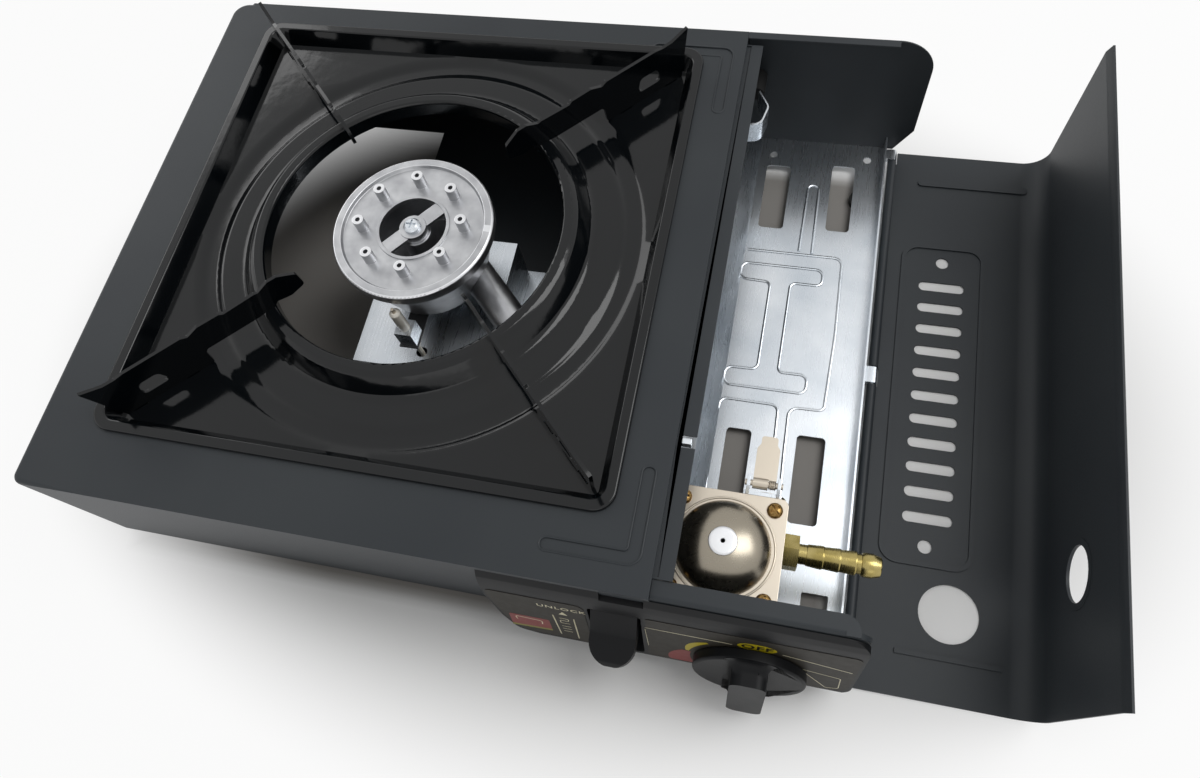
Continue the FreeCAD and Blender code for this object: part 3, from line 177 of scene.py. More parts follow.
def powder_coat():
    """Powder coated sheet steel: a matt charcoal skin with a grain of about half a millimetre."""
    made, tree, shader = surface("Powder coated steel, charcoal", "#2c3034", 0.5, 0.0, 0.3)
    where = coordinates(tree)
    mottle(tree, shader, noise(tree, 60.0, 2.0, where), "#292d31", "#303437")
    fine = noise(tree, 0.6, 2.0, where, 0.6)
    vary(tree, shader, fine, 0.42, 0.56)
    bump(tree, shader, fine, 0.03, 0.5)
    return made


def enamel():
    """Vitreous enamel on pressed steel: deep black glass with a faint waviness."""
    made, tree, shader = surface("Vitreous enamel, black", "#06090c", 0.1, 0.0, 0.36)
    where = coordinates(tree)
    wave = noise(tree, 9.0, 2.0, where)
    grain = noise(tree, 1.6, 1.0, where)
    first = bump(tree, shader, wave, 0.12, 0.5)
    bump(tree, shader, grain, 0.01, 0.4, first)
    vary(tree, shader, noise(tree, 30.0, 3.0, where), 0.06, 0.14)
    return made


def black_steel():
    """Black oxide steel sheet: satin, with slightly rubbed patches."""
    made, tree, shader = surface("Black oxide steel", "#17181a", 0.4, 0.0, 0.5)
    where = coordinates(tree)
    vary(tree, shader, noise(tree, 12.0, 4.0, where), 0.3, 0.5)
    bump(tree, shader, noise(tree, 0.8, 2.0, where), 0.02, 0.4)
    return made


def galvanised():
    """Electro-galvanised sheet: bright zinc with a soft cloudy sheen and fine rolling lines."""
    made, tree, shader = surface("Electro-galvanised steel", "#c6ccd2", 0.28, 1.0)
    where = coordinates(tree)
    mottle(tree, shader, noise(tree, 35.0, 4.0, where), "#b9c0c7", "#d6dade")
    lines = add(tree, "ShaderNodeMapping", None, {"Scale": (1.0, 0.05, 1.0)}, {"Vector": where})
    streaks = noise(tree, 0.7, 3.0, lines.outputs["Vector"])
    vary(tree, shader, streaks, 0.24, 0.32)
    bump(tree, shader, streaks, 0.004, 0.2)
    return made


def satin_nickel():
    """Nickel plate on a bead blasted cover: warm, with a dull sparkle."""
    made, tree, shader = surface("Nickel plate, satin", "#bdb4a6", 0.34, 1.0)
    where = coordinates(tree)
    fine = noise(tree, 0.35, 2.0, where)
    vary(tree, shader, fine, 0.26, 0.42)
    bump(tree, shader, fine, 0.01, 0.35)
    return made


def dark_nickel():
    """Black nickel plate on a spun cover: dark, soft reflections with faint spinning lines."""
    made, tree, shader = surface("Black nickel plate, spun", "#928b7e", 0.26, 1.0)
    where = coordinates(tree)
    vary(tree, shader, noise(tree, 5.0, 3.0, where), 0.22, 0.32)
    bump(tree, shader, noise(tree, 1.2, 2.0, where), 0.01, 0.2)
    return made


def brass():
    """Turned brass: yellow metal with fine tool rings."""
    made, tree, shader = surface("Turned brass", "#a5955c", 0.28, 1.0)
    where = coordinates(tree)
    mottle(tree, shader, noise(tree, 6.0, 3.0, where), "#94854e", "#b1a26c")
    rings = add(tree, "ShaderNodeMapping", None, {"Scale": (1.0, 0.1, 0.1)}, {"Vector": where})
    tool = noise(tree, 0.4, 2.0, rings.outputs["Vector"])
    vary(tree, shader, tool, 0.2, 0.34)
    bump(tree, shader, tool, 0.01, 0.3)
    return made


def cast_aluminium():
    """Pressure cast aluminium, tumbled: pale metal with a soft pebbled skin."""
    made, tree, shader = surface("Cast aluminium, tumbled", "#adaeb0", 0.36, 1.0)
    where = coordinates(tree)
    mottle(tree, shader, noise(tree, 8.0, 4.0, where), "#9fa0a3", "#babbbd")
    pebble = noise(tree, 1.0, 3.0, where)
    vary(tree, shader, pebble, 0.26, 0.44)
    bump(tree, shader, pebble, 0.03, 0.4)
    return made


def milled_aluminium():
    """Machined aluminium: near white metal with fine tool marks."""
    made, tree, shader = surface("Aluminium, face milled", "#d6d7d9", 0.3, 1.0)
    where = coordinates(tree)
    marks = noise(tree, 0.5, 2.0, where)
    vary(tree, shader, marks, 0.26, 0.36)
    bump(tree, shader, marks, 0.005, 0.3)
    return made


def chromated_steel():
    """Yellow chromate on steel screws: brown gold, half bright."""
    made, tree, shader = surface("Screw, yellow chromate", "#7d6238", 0.24, 1.0)
    where = coordinates(tree)
    vary(tree, shader, noise(tree, 1.5, 2.0, where), 0.2, 0.34)
    mottle(tree, shader, noise(tree, 0.8, 2.0, where), "#6a4f2c", "#94794a")
    return made


def moulded_black():
    """Injection moulded ABS, black: matt spark eroded texture with a slight gloss on edges."""
    made, tree, shader = surface("Moulded ABS, black", "#0c0d0f", 0.42, 0.0, 0.16)
    where = coordinates(tree)
    fine = noise(tree, 0.5, 2.0, where)
    vary(tree, shader, noise(tree, 20.0, 3.0, where), 0.36, 0.5)
    bump(tree, shader, fine, 0.02, 0.35)
    return made


def printed(name, color, rough=0.4, specular=0.3):
    """Screen print on polyester film: flat colour with a faint paper tooth."""
    made, tree, shader = surface(name, color, rough, 0.0, specular)
    where = coordinates(tree)
    vary(tree, shader, noise(tree, 3.0, 3.0, where), rough - 0.06, rough + 0.08)
    bump(tree, shader, noise(tree, 0.3, 1.0, where), 0.005, 0.3)
    return made


def rubber():
    """Nitrile rubber: dull black with a fine tooth."""
    made, tree, shader = surface("Nitrile rubber", "#141414", 0.75, 0.0, 0.3)
    bump(tree, shader, noise(tree, 0.4, 2.0), 0.02, 0.5)
    return made


def porcelain():
    """Glazed porcelain insulator: off white and shiny."""
    made, tree, shader = surface("Glazed porcelain", "#e6e1d6", 0.16, 0.0, 0.6)
    vary(tree, shader, noise(tree, 4.0, 2.0), 0.1, 0.24)
    return made


def silicone():
    """Silicone wire sleeve: milky and satin."""
    made, tree, shader = surface("Silicone sleeve", "#d8d4c8", 0.45)
    bump(tree, shader, noise(tree, 0.6, 2.0), 0.01, 0.3)
    return made


FINISH = {}


def finishes():
    """Makes each material once."""
    FINISH.update({
        "coat": powder_coat(), "enamel": enamel(), "oxide": black_steel(), "zinc": galvanised(),
        "nickel": satin_nickel(), "mirror": dark_nickel(), "brass": brass(), "cast": cast_aluminium(),
        "milled": milled_aluminium(), "screw": chromated_steel(),
        "abs": moulded_black(), "rubber": rubber(), "porcelain": porcelain(), "sleeve": silicone(),
        "film": printed("Label film, dark olive", "#28251f", 0.5, 0.2),
        "cream": printed("Print, cream", "#d9d2b4"),
        "yellow": printed("Print, yellow", "#b5a413"),
        "olive": printed("Print, olive green", "#7c7a2c"),
        "red": printed("Print, red", "#7c2d2a"),
        "ink": printed("Print, black", "#121212"),
    })


def only(*items):
    """Selects these objects and nothing else."""
    bpy.ops.object.select_all(action="DESELECT")
    for item in items:
        item.hide_set(False)
        item.select_set(True)
    bpy.context.view_layer.objects.active = items[0]


def settle(piece, finish, body, nodes=(), angle=30.0):
    """Finishes a piece: place in the mesh, smooth curves, material, slot and body."""
    only(piece)
    bpy.ops.object.transform_apply(location=True, rotation=True, scale=True)
    if angle:
        bpy.ops.object.shade_smooth_by_angle(angle=math.radians(angle))
        # Large faces keep their own direction up to their eased edges
        facing = piece.modifiers.new("Facing", "WEIGHTED_NORMAL")
        facing.keep_sharp = True
        facing.weight = 60
        bpy.ops.object.modifier_apply(modifier="Facing")
    piece.data.materials.clear()
    piece.data.materials.append(FINISH[finish])
    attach(piece, body)
    if nodes:
        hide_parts(*nodes)
    return piece


def bevelled(piece, width_mm, segments=2, angle=40.0):
    """Eases the sharp edges and keeps the result in the mesh."""
    only(piece)
    rounding = piece.modifiers.new("Bevel", "BEVEL")
    rounding.width = width_mm * 0.001
    rounding.segments = segments
    rounding.limit_method = "ANGLE"
    rounding.angle_limit = math.radians(angle)
    rounding.use_clamp_overlap = True
    bpy.ops.object.modifier_apply(modifier="Bevel")
    return piece


def joined_copy(node):
    """A copy of a solid from the frame with its loose triangles joined."""
    source = frame["nodes"][node]
    piece = bpy.data.objects.new(node + "_skin", source.data.copy())
    bpy.context.scene.collection.objects.link(piece)
    only(piece)
    bpy.ops.object.mode_set(mode="EDIT")
    bpy.ops.mesh.select_all(action="SELECT")
    bpy.ops.mesh.remove_doubles(threshold=0.000002)
    bpy.ops.mesh.dissolve_limited(angle_limit=math.radians(0.08))
    bpy.ops.object.mode_set(mode="OBJECT")
    return piece


def millimetres(piece, place=None):
    """The mesh's points in millimetres, from the casing's corner or on a plane."""
    if place is None:
        return [(v.co - SHIFT) * 1000.0 for v in piece.data.vertices]
    back = place.inverted()
    return [back @ v.co for v in piece.data.vertices]


def pick(piece, kind, test, place=None):
    """Selects the edges or faces whose points all pass the test, and stays in edit mode."""
    only(piece)
    bpy.ops.object.mode_set(mode="EDIT")
    bpy.ops.mesh.select_mode(type=kind)
    bpy.ops.mesh.select_all(action="DESELECT")
    bpy.ops.object.mode_set(mode="OBJECT")
    good = [test(spot) for spot in millimetres(piece, place)]
    for item in (piece.data.edges if kind == "EDGE" else piece.data.polygons):
        item.select = all(good[k] for k in item.vertices)
    bpy.ops.object.mode_set(mode="EDIT")


def rolled(piece, width_mm, segments, test, place=None):
    """Rounds the edges that the test picks."""
    pick(piece, "EDGE", test, place)
    bpy.ops.mesh.bevel(offset=width_mm * 0.001, segments=segments, affect="EDGES")
    bpy.ops.object.mode_set(mode="OBJECT")
    return piece


def finished(piece, node, finish, ease=0.0, angle=30.0, segments=2):
    """Eases what is still sharp and puts the piece in the node's stead."""
    if ease:
        bevelled(piece, ease, segments)
    return settle(piece, finish, BODY_OF[node], [node], angle)


def added(piece, node, finish, angle=30.0):
    """Finishes a shape that lies on a node and rides with it."""
    return settle(piece, finish, BODY_OF[node], (), angle)


def dressed(node, finish, ease=0.0, angle=30.0, segments=2):
    """A joined copy of a solid from the frame with eased edges and a finish."""
    return finished(joined_copy(node), node, finish, ease, angle, segments)


def plane_at(x, y, z, along=(1.0, 0.0, 0.0), up=(0.0, 1.0, 0.0)):
    """Takes millimetres on a plane to the frame; the third axis stands out of the plane."""
    u = Vector(along).normalized()
    v = Vector(up).normalized()
    turn = Matrix((u, v, u.cross(v))).transposed().to_4x4()
    return Matrix.Translation(at(x, y, z)) @ turn @ Matrix.Scale(0.001, 4)


def rounded(corners, closed=True, steps=5):
    """The points of an outline whose corners are (x, y) or (x, y, radius)."""
    points = []
    count = len(corners)
    for i, corner in enumerate(corners):
        here = Vector(corner[:2])
        if len(corner) < 3 or (not closed and i in (0, count - 1)):
            points.append(here)
            continue
        back = (Vector(corners[i - 1][:2]) - here).normalized()
        ahead = (Vector(corners[(i + 1) % count][:2]) - here).normalized()
        half = back.angle(ahead) / 2.0
        centre = here + (back + ahead).normalized() * (corner[2] / math.sin(half))
        first = here + back * (corner[2] / math.tan(half)) - centre
        last = here + ahead * (corner[2] / math.tan(half)) - centre
        sweep = first.angle_signed(last)
        for k in range(steps + 1):
            points.append(centre + Matrix.Rotation(-sweep * k / steps, 2) @ first)
    return points


def laid_curve(name, runs, closed):
    """A curve object through the given runs of points."""
    line = bpy.data.curves.new(name, "CURVE")
    for points in runs:
        run = line.splines.new("POLY")
        run.points.add(len(points) - 1)
        for spot, point in zip(points, run.points):
            point.co = (spot[0], spot[1], 0.0, 1.0)
        run.use_cyclic_u = closed
    piece = bpy.data.objects.new(name, line)
    bpy.context.scene.collection.objects.link(piece)
    return piece


def made_mesh(piece, merge=0.002):
    """Turns a curve or word into a closed mesh while it still lies flat."""
    only(piece)
    bpy.ops.object.convert(target="MESH")
    piece = bpy.context.view_layer.objects.active
    bpy.ops.object.mode_set(mode="EDIT")
    bpy.ops.mesh.select_all(action="SELECT")
    bpy.ops.mesh.remove_doubles(threshold=merge)
    bpy.ops.mesh.normals_make_consistent(inside=False)
    bpy.ops.object.mode_set(mode="OBJECT")
    return piece


def bead(name, corners, width, height, place, closed=True, steps=5):
    """A pressed line: a low rounded ridge along a path on a plane."""
    piece = laid_curve(name, [rounded(corners, closed, steps)], closed)
    piece.data.dimensions = "3D"
    piece.data.bevel_depth = width / 2.0
    piece.data.bevel_resolution = 2
    piece.data.use_fill_caps = True
    piece = made_mesh(piece, 0.0005)
    piece.matrix_world = place @ Matrix.Diagonal((1.0, 1.0, 2.0 * height / width, 1.0))
    return piece


def flat_shape(name, loops, low, high, place, steps=5):
    """A flat shape between two heights over a plane; further loops are its holes."""
    piece = laid_curve(name, [rounded(loop, True, steps) for loop in loops], True)
    piece.data.dimensions = "2D"
    piece.data.fill_mode = "BOTH"
    piece.data.extrude = (high - low) / 2.0
    piece = made_mesh(piece)
    piece.matrix_world = place @ Matrix.Translation((0.0, 0.0, (high + low) / 2.0))
    return piece


def word(name, text, size, u, v, place, stretch=1.0, thick=PRINT_HIGH, weight=0.0):
    """Raised lettering, flat on a plane."""
    bpy.ops.object.select_all(action="DESELECT")
    bpy.ops.object.text_add()
    piece = bpy.context.object
    piece.name = name
    piece.data.body = text
    piece.data.size = size
    piece.data.align_x = "CENTER"
    piece.data.align_y = "CENTER"
    piece.data.extrude = thick / 2.0
    piece.data.offset = weight
    piece.data.space_character = 1.15
    piece.data.resolution_u = 4
    piece = made_mesh(piece, 0.0005)
    spot = Matrix.Translation((u, v, thick / 2.0))
    piece.matrix_world = place @ spot @ Matrix.Diagonal((stretch, 1.0, 1.0, 1.0))
    return piece


def lathe(name, profile, place, steps=48):
    """A turned shape: radius and height in millimetres, spun round the plane's own axis."""
    bpy.ops.object.select_all(action="DESELECT")
    bpy.ops.mesh.primitive_plane_add(size=1.0)
    piece = bpy.context.object
    piece.name = name
    bpy.ops.object.mode_set(mode="EDIT")
    bpy.ops.mesh.select_mode(type="VERT")
    bpy.ops.mesh.select_all(action="SELECT")
    bpy.ops.mesh.merge(type="CENTER")
    bpy.ops.transform.translate(value=(profile[0][0], 0.0, profile[0][1]))
    for before, after in zip(profile, profile[1:]):
        step = (after[0] - before[0], 0.0, after[1] - before[1])
        bpy.ops.mesh.extrude_region_move(TRANSFORM_OT_translate={"value": step})
    bpy.ops.mesh.select_all(action="SELECT")
    bpy.ops.mesh.spin(steps=steps, angle=2.0 * math.pi, center=(0.0, 0.0, 0.0), axis=(0.0, 0.0, 1.0))
    bpy.ops.mesh.select_all(action="SELECT")
    bpy.ops.mesh.remove_doubles(threshold=0.001)
    bpy.ops.mesh.normals_make_consistent(inside=False)
    bpy.ops.object.mode_set(mode="OBJECT")
    piece.matrix_world = place
    return piece


def copies(piece, places):
    """Copies of a piece with meshes of their own."""
    made = []
    for place in places:
        other = piece.copy()
        other.data = piece.data.copy()
        bpy.context.scene.collection.objects.link(other)
        other.matrix_world = place
        made.append(other)
    bpy.data.objects.remove(piece)
    return made


def one_piece(name, items):
    """Joins several shapes into one piece."""
    for item in items:
        only(item)
        bpy.ops.object.transform_apply(location=True, rotation=True, scale=True)
    only(*items)
    if len(items) > 1:
        bpy.ops.object.join()
    piece = bpy.context.view_layer.objects.active
    piece.name = name
    return piece


def carved(piece, tool, operation="DIFFERENCE"):
    """Takes the tool's shape out of the piece, or adds it."""
    only(piece)
    step = piece.modifiers.new("Carve", "BOOLEAN")
    step.operation = operation
    step.solver = "EXACT"
    step.object = tool
    bpy.ops.object.modifier_apply(modifier="Carve")
    bpy.data.objects.remove(tool)
    return piece


def ring_points(wide, tall, count, middle=(0.0, 0.0)):
    """Points all round an ellipse."""
    turns = [2.0 * math.pi * k / count for k in range(count)]
    return [(middle[0] + wide * math.cos(a), middle[1] + tall * math.sin(a)) for a in turns]


def cross_recess(half, width):
    """The outline of a cross for a driver."""
    w = width / 2.0
    return [(-half, -w), (-w, -w), (-w, -half), (w, -half), (w, -w), (half, -w),
            (half, w), (w, w), (w, half), (-w, half), (-w, w), (-half, w)]


def ridge_wall(spot):
    """Tells whether a point of the tray's floor lies on the foot of a plain ridge."""
    x, y = spot.x, spot.y
    slots = ((280.5, 293.0, 207.0, 246.0), (314.0, 325.5, 208.6, 248.8),
             (280.7, 292.3, 58.0, 96.0), (312.7, 325.6, 55.4, 97.0))
    return not any(a - 0.1 < x < b + 0.1 and c - 0.1 < y < d + 0.1 for a, b, c, d in slots)


class StoveSizes(bpy.types.PropertyGroup):
    """Sizes and light that a user may change"""

    edge: bpy.props.FloatProperty(
        name="Edge easing", description="Rounding of sheet edges in millimetres",
        default=0.25, min=0.0, max=1.0)
    floor: bpy.props.FloatProperty(
        name="Floor", description="Side of the floor", default=6.0, unit="LENGTH")
    light: bpy.props.FloatProperty(
        name="Light", description="Strength of the soft box", default=9.0, min=0.0)
    surround: bpy.props.FloatProperty(
        name="Surround", description="Strength of the light from all round", default=0.36, min=0.0)


class STOVE_OT_stage(bpy.types.Operator):
    """Camera, floor and soft studio light"""

    bl_idname = "stove.stage"
    bl_label = "Stage"

    def execute(self, context):
        sizes = context.scene.stove
        scene = context.scene
        scene.view_settings.view_transform = "Standard"
        eye = bpy.data.cameras.new("Camera")
        eye.sensor_width = 36.0
        eye.lens = CAMERA_LENS
        eye.clip_start = 0.01
        holder = bpy.data.objects.new("Camera", eye)
        scene.collection.objects.link(holder)
        turn = Matrix(CAMERA_ROWS).transposed() @ Matrix.Diagonal((1.0, -1.0, -1.0))
        holder.matrix_world = Matrix.Translation(at(*CAMERA_AT)) @ turn.to_4x4()
        scene.camera = holder

        world = bpy.data.worlds.new("Studio")
        scene.world = world
        world.use_nodes = True
        tree = world.node_tree
        tree.nodes.clear()
        path = add(tree, "ShaderNodeLightPath")
        seen = add(tree, "ShaderNodeMath", {"operation": "MAXIMUM"}, None,
                   {0: path.outputs["Is Camera Ray"], 1: path.outputs["Is Transmission Ray"]})
        seen = add(tree, "ShaderNodeMath", {"operation": "MAXIMUM"}, None,
                   {0: seen.outputs[0], 1: path.outputs["Is Glossy Ray"]})
        soft = add(tree, "ShaderNodeBackground", None,
                   {"Color": (1.0, 1.0, 1.0, 1.0), "Strength": sizes.surround})
        white = add(tree, "ShaderNodeBackground", None, {"Color": (1.0, 1.0, 1.0, 1.0), "Strength": 1.0})
        both = add(tree, "ShaderNodeMixShader", None, None,
                   {0: seen.outputs[0], 1: soft.outputs[0], 2: white.outputs[0]})
        add(tree, "ShaderNodeOutputWorld", None, None, {"Surface": both.outputs[0]})

        bpy.ops.object.select_all(action="DESELECT")
        bpy.ops.mesh.primitive_plane_add(size=sizes.floor, location=(0.0, 0.0, -0.0002))
        floor = context.object
        floor.name = "floor"
        made, tree, shader = surface("Pale table", "#f4f4f3", 0.8, 0.0, 0.2)
        # Under the fixed body the table is painted a darker grey, a painted shade that darkens what the
        # openings show.
        # No pose uncovers it, so the floor in view stays plain
        middle = add(tree, "ShaderNodeMapping", None, {"Location": (BODY_LEFT, 0.0, 0.0)},
                     {"Vector": coordinates(tree)})
        ground = add(tree, "ShaderNodeSeparateXYZ", None, None, {"Vector": middle.outputs["Vector"]})
        across = add(tree, "ShaderNodeMath", {"operation": "ABSOLUTE"}, None, {0: ground.outputs["X"]})
        along = add(tree, "ShaderNodeMath", {"operation": "ABSOLUTE"}, None, {0: ground.outputs["Y"]})
        along = add(tree, "ShaderNodeMath", {"operation": "MULTIPLY"}, {1: BODY_WIDE_TO_DEEP},
                    {0: along.outputs[0]})
        reach = add(tree, "ShaderNodeMath", {"operation": "MAXIMUM"}, None,
                    {0: across.outputs[0], 1: along.outputs[0]})
        painted_shade = add(tree, "ShaderNodeValToRGB", None, None, {"Fac": reach.outputs[0]})
        painted_shade.color_ramp.elements[0].position = BODY_SHADE_ENDS[0]
        painted_shade.color_ramp.elements[1].position = BODY_SHADE_ENDS[1]
        # Painted shade: a darker grey under the body, where shade falls, fading to the pale floor at its edge
        painted_shade.color_ramp.elements[0].color = linear("#8f8c88")
        painted_shade.color_ramp.elements[1].color = linear("#f4f4f3")
        tree.links.new(painted_shade.outputs["Color"], shader.inputs["Base Color"])
        path = add(tree, "ShaderNodeLightPath")
        glow = add(tree, "ShaderNodeEmission", None, {"Color": (1.0, 1.0, 1.0, 1.0), "Strength": 1.0})
        # The backdrop's own white sets in away from the object, so the shadow round it stays
        flat = add(tree, "ShaderNodeMapping", None, {"Scale": (1.0, 1.45, 0.0)},
                   {"Vector": coordinates(tree)})
        away = add(tree, "ShaderNodeVectorMath", {"operation": "LENGTH"}, None, {0: flat.outputs["Vector"]})
        ramp = add(tree, "ShaderNodeMapRange", {"interpolation_type": "SMOOTHSTEP"},
                   {"From Min": 0.2, "From Max": 0.31, "To Min": 0.0, "To Max": 0.9},
                   {"Value": away.outputs["Value"]})
        seen = add(tree, "ShaderNodeMath", {"operation": "MAXIMUM"}, None,
                   {0: path.outputs["Is Camera Ray"], 1: path.outputs["Is Glossy Ray"]})
        share = add(tree, "ShaderNodeMath", {"operation": "MULTIPLY"}, None,
                    {0: seen.outputs[0], 1: ramp.outputs["Result"]})
        mixed = add(tree, "ShaderNodeMixShader", None, None,
                    {0: share.outputs[0], 1: shader.outputs[0], 2: glow.outputs[0]})
        tree.links.new(mixed.outputs[0], tree.nodes["Material Output"].inputs["Surface"])
        floor.data.materials.append(made)

        lamps = (
            ("Overhead", (0.75, 0.25, 1.25), (0.0, 0.0, 0.03), 0.7, 0.9, sizes.light),
            ("Window", (-1.25, 0.75, 0.8), (0.0, 0.0, 0.03), 0.9, 0.6, sizes.light * 0.4),
            ("Front", (0.25, -1.3, 0.55), (0.0, 0.0, 0.03), 0.9, 0.6, sizes.light * 0.1),
        )
        for name, where, target, wide, high, power in lamps:
            lamp = bpy.data.lights.new(name, "AREA")
            lamp.shape = "RECTANGLE"
            lamp.size = wide
            lamp.size_y = high
            lamp.energy = power
            holder = bpy.data.objects.new(name, lamp)
            scene.collection.objects.link(holder)
            turn = (Vector(target) - Vector(where)).to_track_quat("-Z", "Y").to_matrix()
            holder.matrix_world = Matrix.Translation(where) @ turn.to_4x4()
        return {"FINISHED"}


class STOVE_OT_casing(bpy.types.Operator):
    """Casing, bay walls, partition, base plate and feet"""

    bl_idname = "stove.casing"
    bl_label = "Casing"

    def execute(self, context):
        edge = context.scene.stove.edge
        top = CASING_TOP - 0.01
        casing = joined_copy("casing_shell")
        rolled(casing, 2.4, 4, lambda p: p.z > top and (
            p.x < 0.05 or p.y < 0.05 or p.y > CASING_DEPTH - 0.05 or (p.x < 8.1 and (
                p.y > CASING_DEPTH - 8.1 or p.y < 4.1))) and p.x < CASING_WIDE - 0.01)
        finished(casing, "casing_shell", "coat", edge)
        # The pressed corner marks: a thin line round each
        deck = plane_at(0.0, 0.0, CASING_TOP - 0.1)
        far = CASING_DEPTH - 10.6
        marks = (
            ((223.0, 10.6, 2.5), (260.8, 10.6, 5.0), (260.8, 48.4, 2.5),
             (255.5, 48.4, 2.5), (255.5, 15.8, 1.5), (223.0, 15.8, 2.5)),
            ((223.0, far, 2.5), (223.0, far - 5.2, 2.5), (255.5, far - 5.2, 1.5),
             (255.5, far - 37.8, 2.5), (260.8, far - 37.8, 2.5), (260.8, far, 5.0)))
        lines = [bead("mark_line_%d" % k, mark, 0.9, 0.4, deck) for k, mark in enumerate(marks)]
        added(one_piece("casing_marks", lines), "casing_shell", "coat")
        partition = joined_copy("partition")
        level = plane_at(0.0, 0.0, 0.0)
        carved(partition, flat_shape("gap_tool", [[
            (265.9, 8.8), (268.0, 8.8), (268.0, 257.4), (265.9, 257.4)]], 73.35, 75.0, level))
        finished(partition, "partition", "coat", 0.12)
        dressed("bay_back_wall", "coat", edge)
        wall = joined_copy("bay_front_wall")
        rolled(wall, 2.6, 4, lambda p: p.y < 0.02 and p.z > 62.0 and (
            p.z > FRONT_TOP - 0.02 or p.x > FRONT_RIGHT - 10.05))
        finished(wall, "bay_front_wall", "coat", edge)
        dressed("base_plate", "coat", edge)
        dressed("feet", "rubber", 0.3)
        return {"FINISHED"}


class STOVE_OT_panel(bpy.types.Operator):
    """Control panel with its printed films"""

    bl_idname = "stove.panel"
    bl_label = "Control panel"

    def execute(self, context):
        dressed("control_panel", "abs", 0.6, segments=3)
        dressed("label_left", "film")
        dressed("label_right", "film")
        # The films lie on the sloping face; u runs right and v up the face
        face = plane_at(0.0, -12.0, 14.0, (1.0, 0.0, 0.0), FACE_UP)
        film = face @ Matrix.Translation((0.0, 0.0, 0.2))
        line = 0.55
        thin = 0.4
        left = [
            word("print_unlock", "UNLOCK", 3.6, 231.4, 38.4, film, 1.2, weight=0.02),
            flat_shape("print_arrow", [[(231.5, 34.8), (229.7, 31.6), (233.3, 31.6)]], 0.0, PRINT_HIGH, film),
            bead("print_mark_1", [(227.0, 29.4), (227.8, 6.4)], line, LINE_HIGH, film, False),
            bead("print_mark_2", [(235.4, 28.5), (235.1, 4.5)], line, LINE_HIGH, film, False),
            bead("print_mark_3", [(229.4, 27.0), (233.0, 27.0, 0.8), (233.0, 24.4, 0.8), (229.4, 24.4, 0.8),
                                  (229.4, 21.4, 0.8), (233.2, 21.4)], thin, LINE_HIGH, film, False),
            bead("print_mark_4", [(229.4, 17.6), (233.2, 17.6)], thin, LINE_HIGH, film, False),
            bead("print_mark_5", [(229.4, 14.6), (233.2, 14.6)], thin, LINE_HIGH, film, False),
            bead("print_mark_6", [(229.6, 11.4), (233.2, 11.4)], thin, LINE_HIGH, film, False),
        ]
        added(one_piece("print_left", left), "label_left", "cream", 0.0)
        block = flat_shape("print_red_block", [[
            (207.2, 9.2, 1.0), (224.4, 10.2, 1.0), (224.4, 21.4, 1.0), (207.6, 21.4, 1.0)]],
            0.0, PRINT_HIGH, film)
        added(block, "label_left", "red", 0.0)
        stripe = flat_shape("print_green_edge", [[
            (207.0, 7.2), (224.4, 8.4), (224.4, 10.2), (207.2, 9.2)]], 0.0, PRINT_HIGH, film)
        added(stripe, "label_left", "olive", 0.0)
        pale = bead("print_pale_hook", [
            (210.4, 15.6), (209.9, 19.4, 1.2), (221.2, 18.6, 1.2), (220.8, 14.6)], line, 0.09, film, False)
        added(pale, "label_left", "cream", 0.0)

        right = [
            bead("print_line_1", [(263.9, 35.4), (296.8, 35.2)], line, LINE_HIGH, film, False),
            bead("print_line_2", [(315.4, 34.0), (341.2, 27.8)], line, LINE_HIGH, film, False),
            bead("print_frame", [
                (322.5, 21.6, 0.6), (338.4, 18.0, 0.8), (339.2, 5.0, 1.6), (334.4, 3.6, 1.0)],
                 thin, LINE_HIGH, film),
            bead("print_side", [(263.9, 33.6), (264.6, 14.0)], 0.25, LINE_HIGH, film, False),
        ]
        added(one_piece("print_right", right), "label_right", "cream", 0.0)
        oval = ring_points(7.3, 3.8, 36, OFF_AT)
        added(flat_shape("print_off_oval", [oval], 0.0, PRINT_HIGH, film), "label_right", "yellow", 0.0)
        over = film @ Matrix.Translation((0.0, 0.0, PRINT_HIGH))
        letters = word("print_off", "OFF", 5.6, *OFF_AT, over, 1.1, weight=0.16)
        added(letters, "label_right", "ink", 0.0)
        # Crescents round the knob: yellow for a low flame, red for a high one
        dial = (KNOB_AT[0], 12.18)
        for name, finish, start, end, inner, outer in (
                ("print_yellow_arc", "yellow", 132.0, 168.0, 24.4, 27.6),
                ("print_red_arc", "red", 170.0, 222.0, 23.4, 33.0)):
            band = []
            steps = 14
            for k in range(steps + 1):
                turn = math.radians(start + (end - start) * k / steps)
                reach = inner + (outer - inner) * math.sin(math.pi * (0.12 + 0.76 * k / steps))
                band.append((dial[0] + reach * math.cos(turn), max(dial[1] + reach * math.sin(turn), 2.2)))
            for k in range(steps, -1, -1):
                turn = math.radians(start + (end - start) * k / steps)
                band.append((dial[0] + inner * math.cos(turn), max(dial[1] + inner * math.sin(turn), 2.0)))
            added(flat_shape(name, [band], 0.0, PRINT_HIGH, film), "label_right", finish, 0.0)
        return {"FINISHED"}


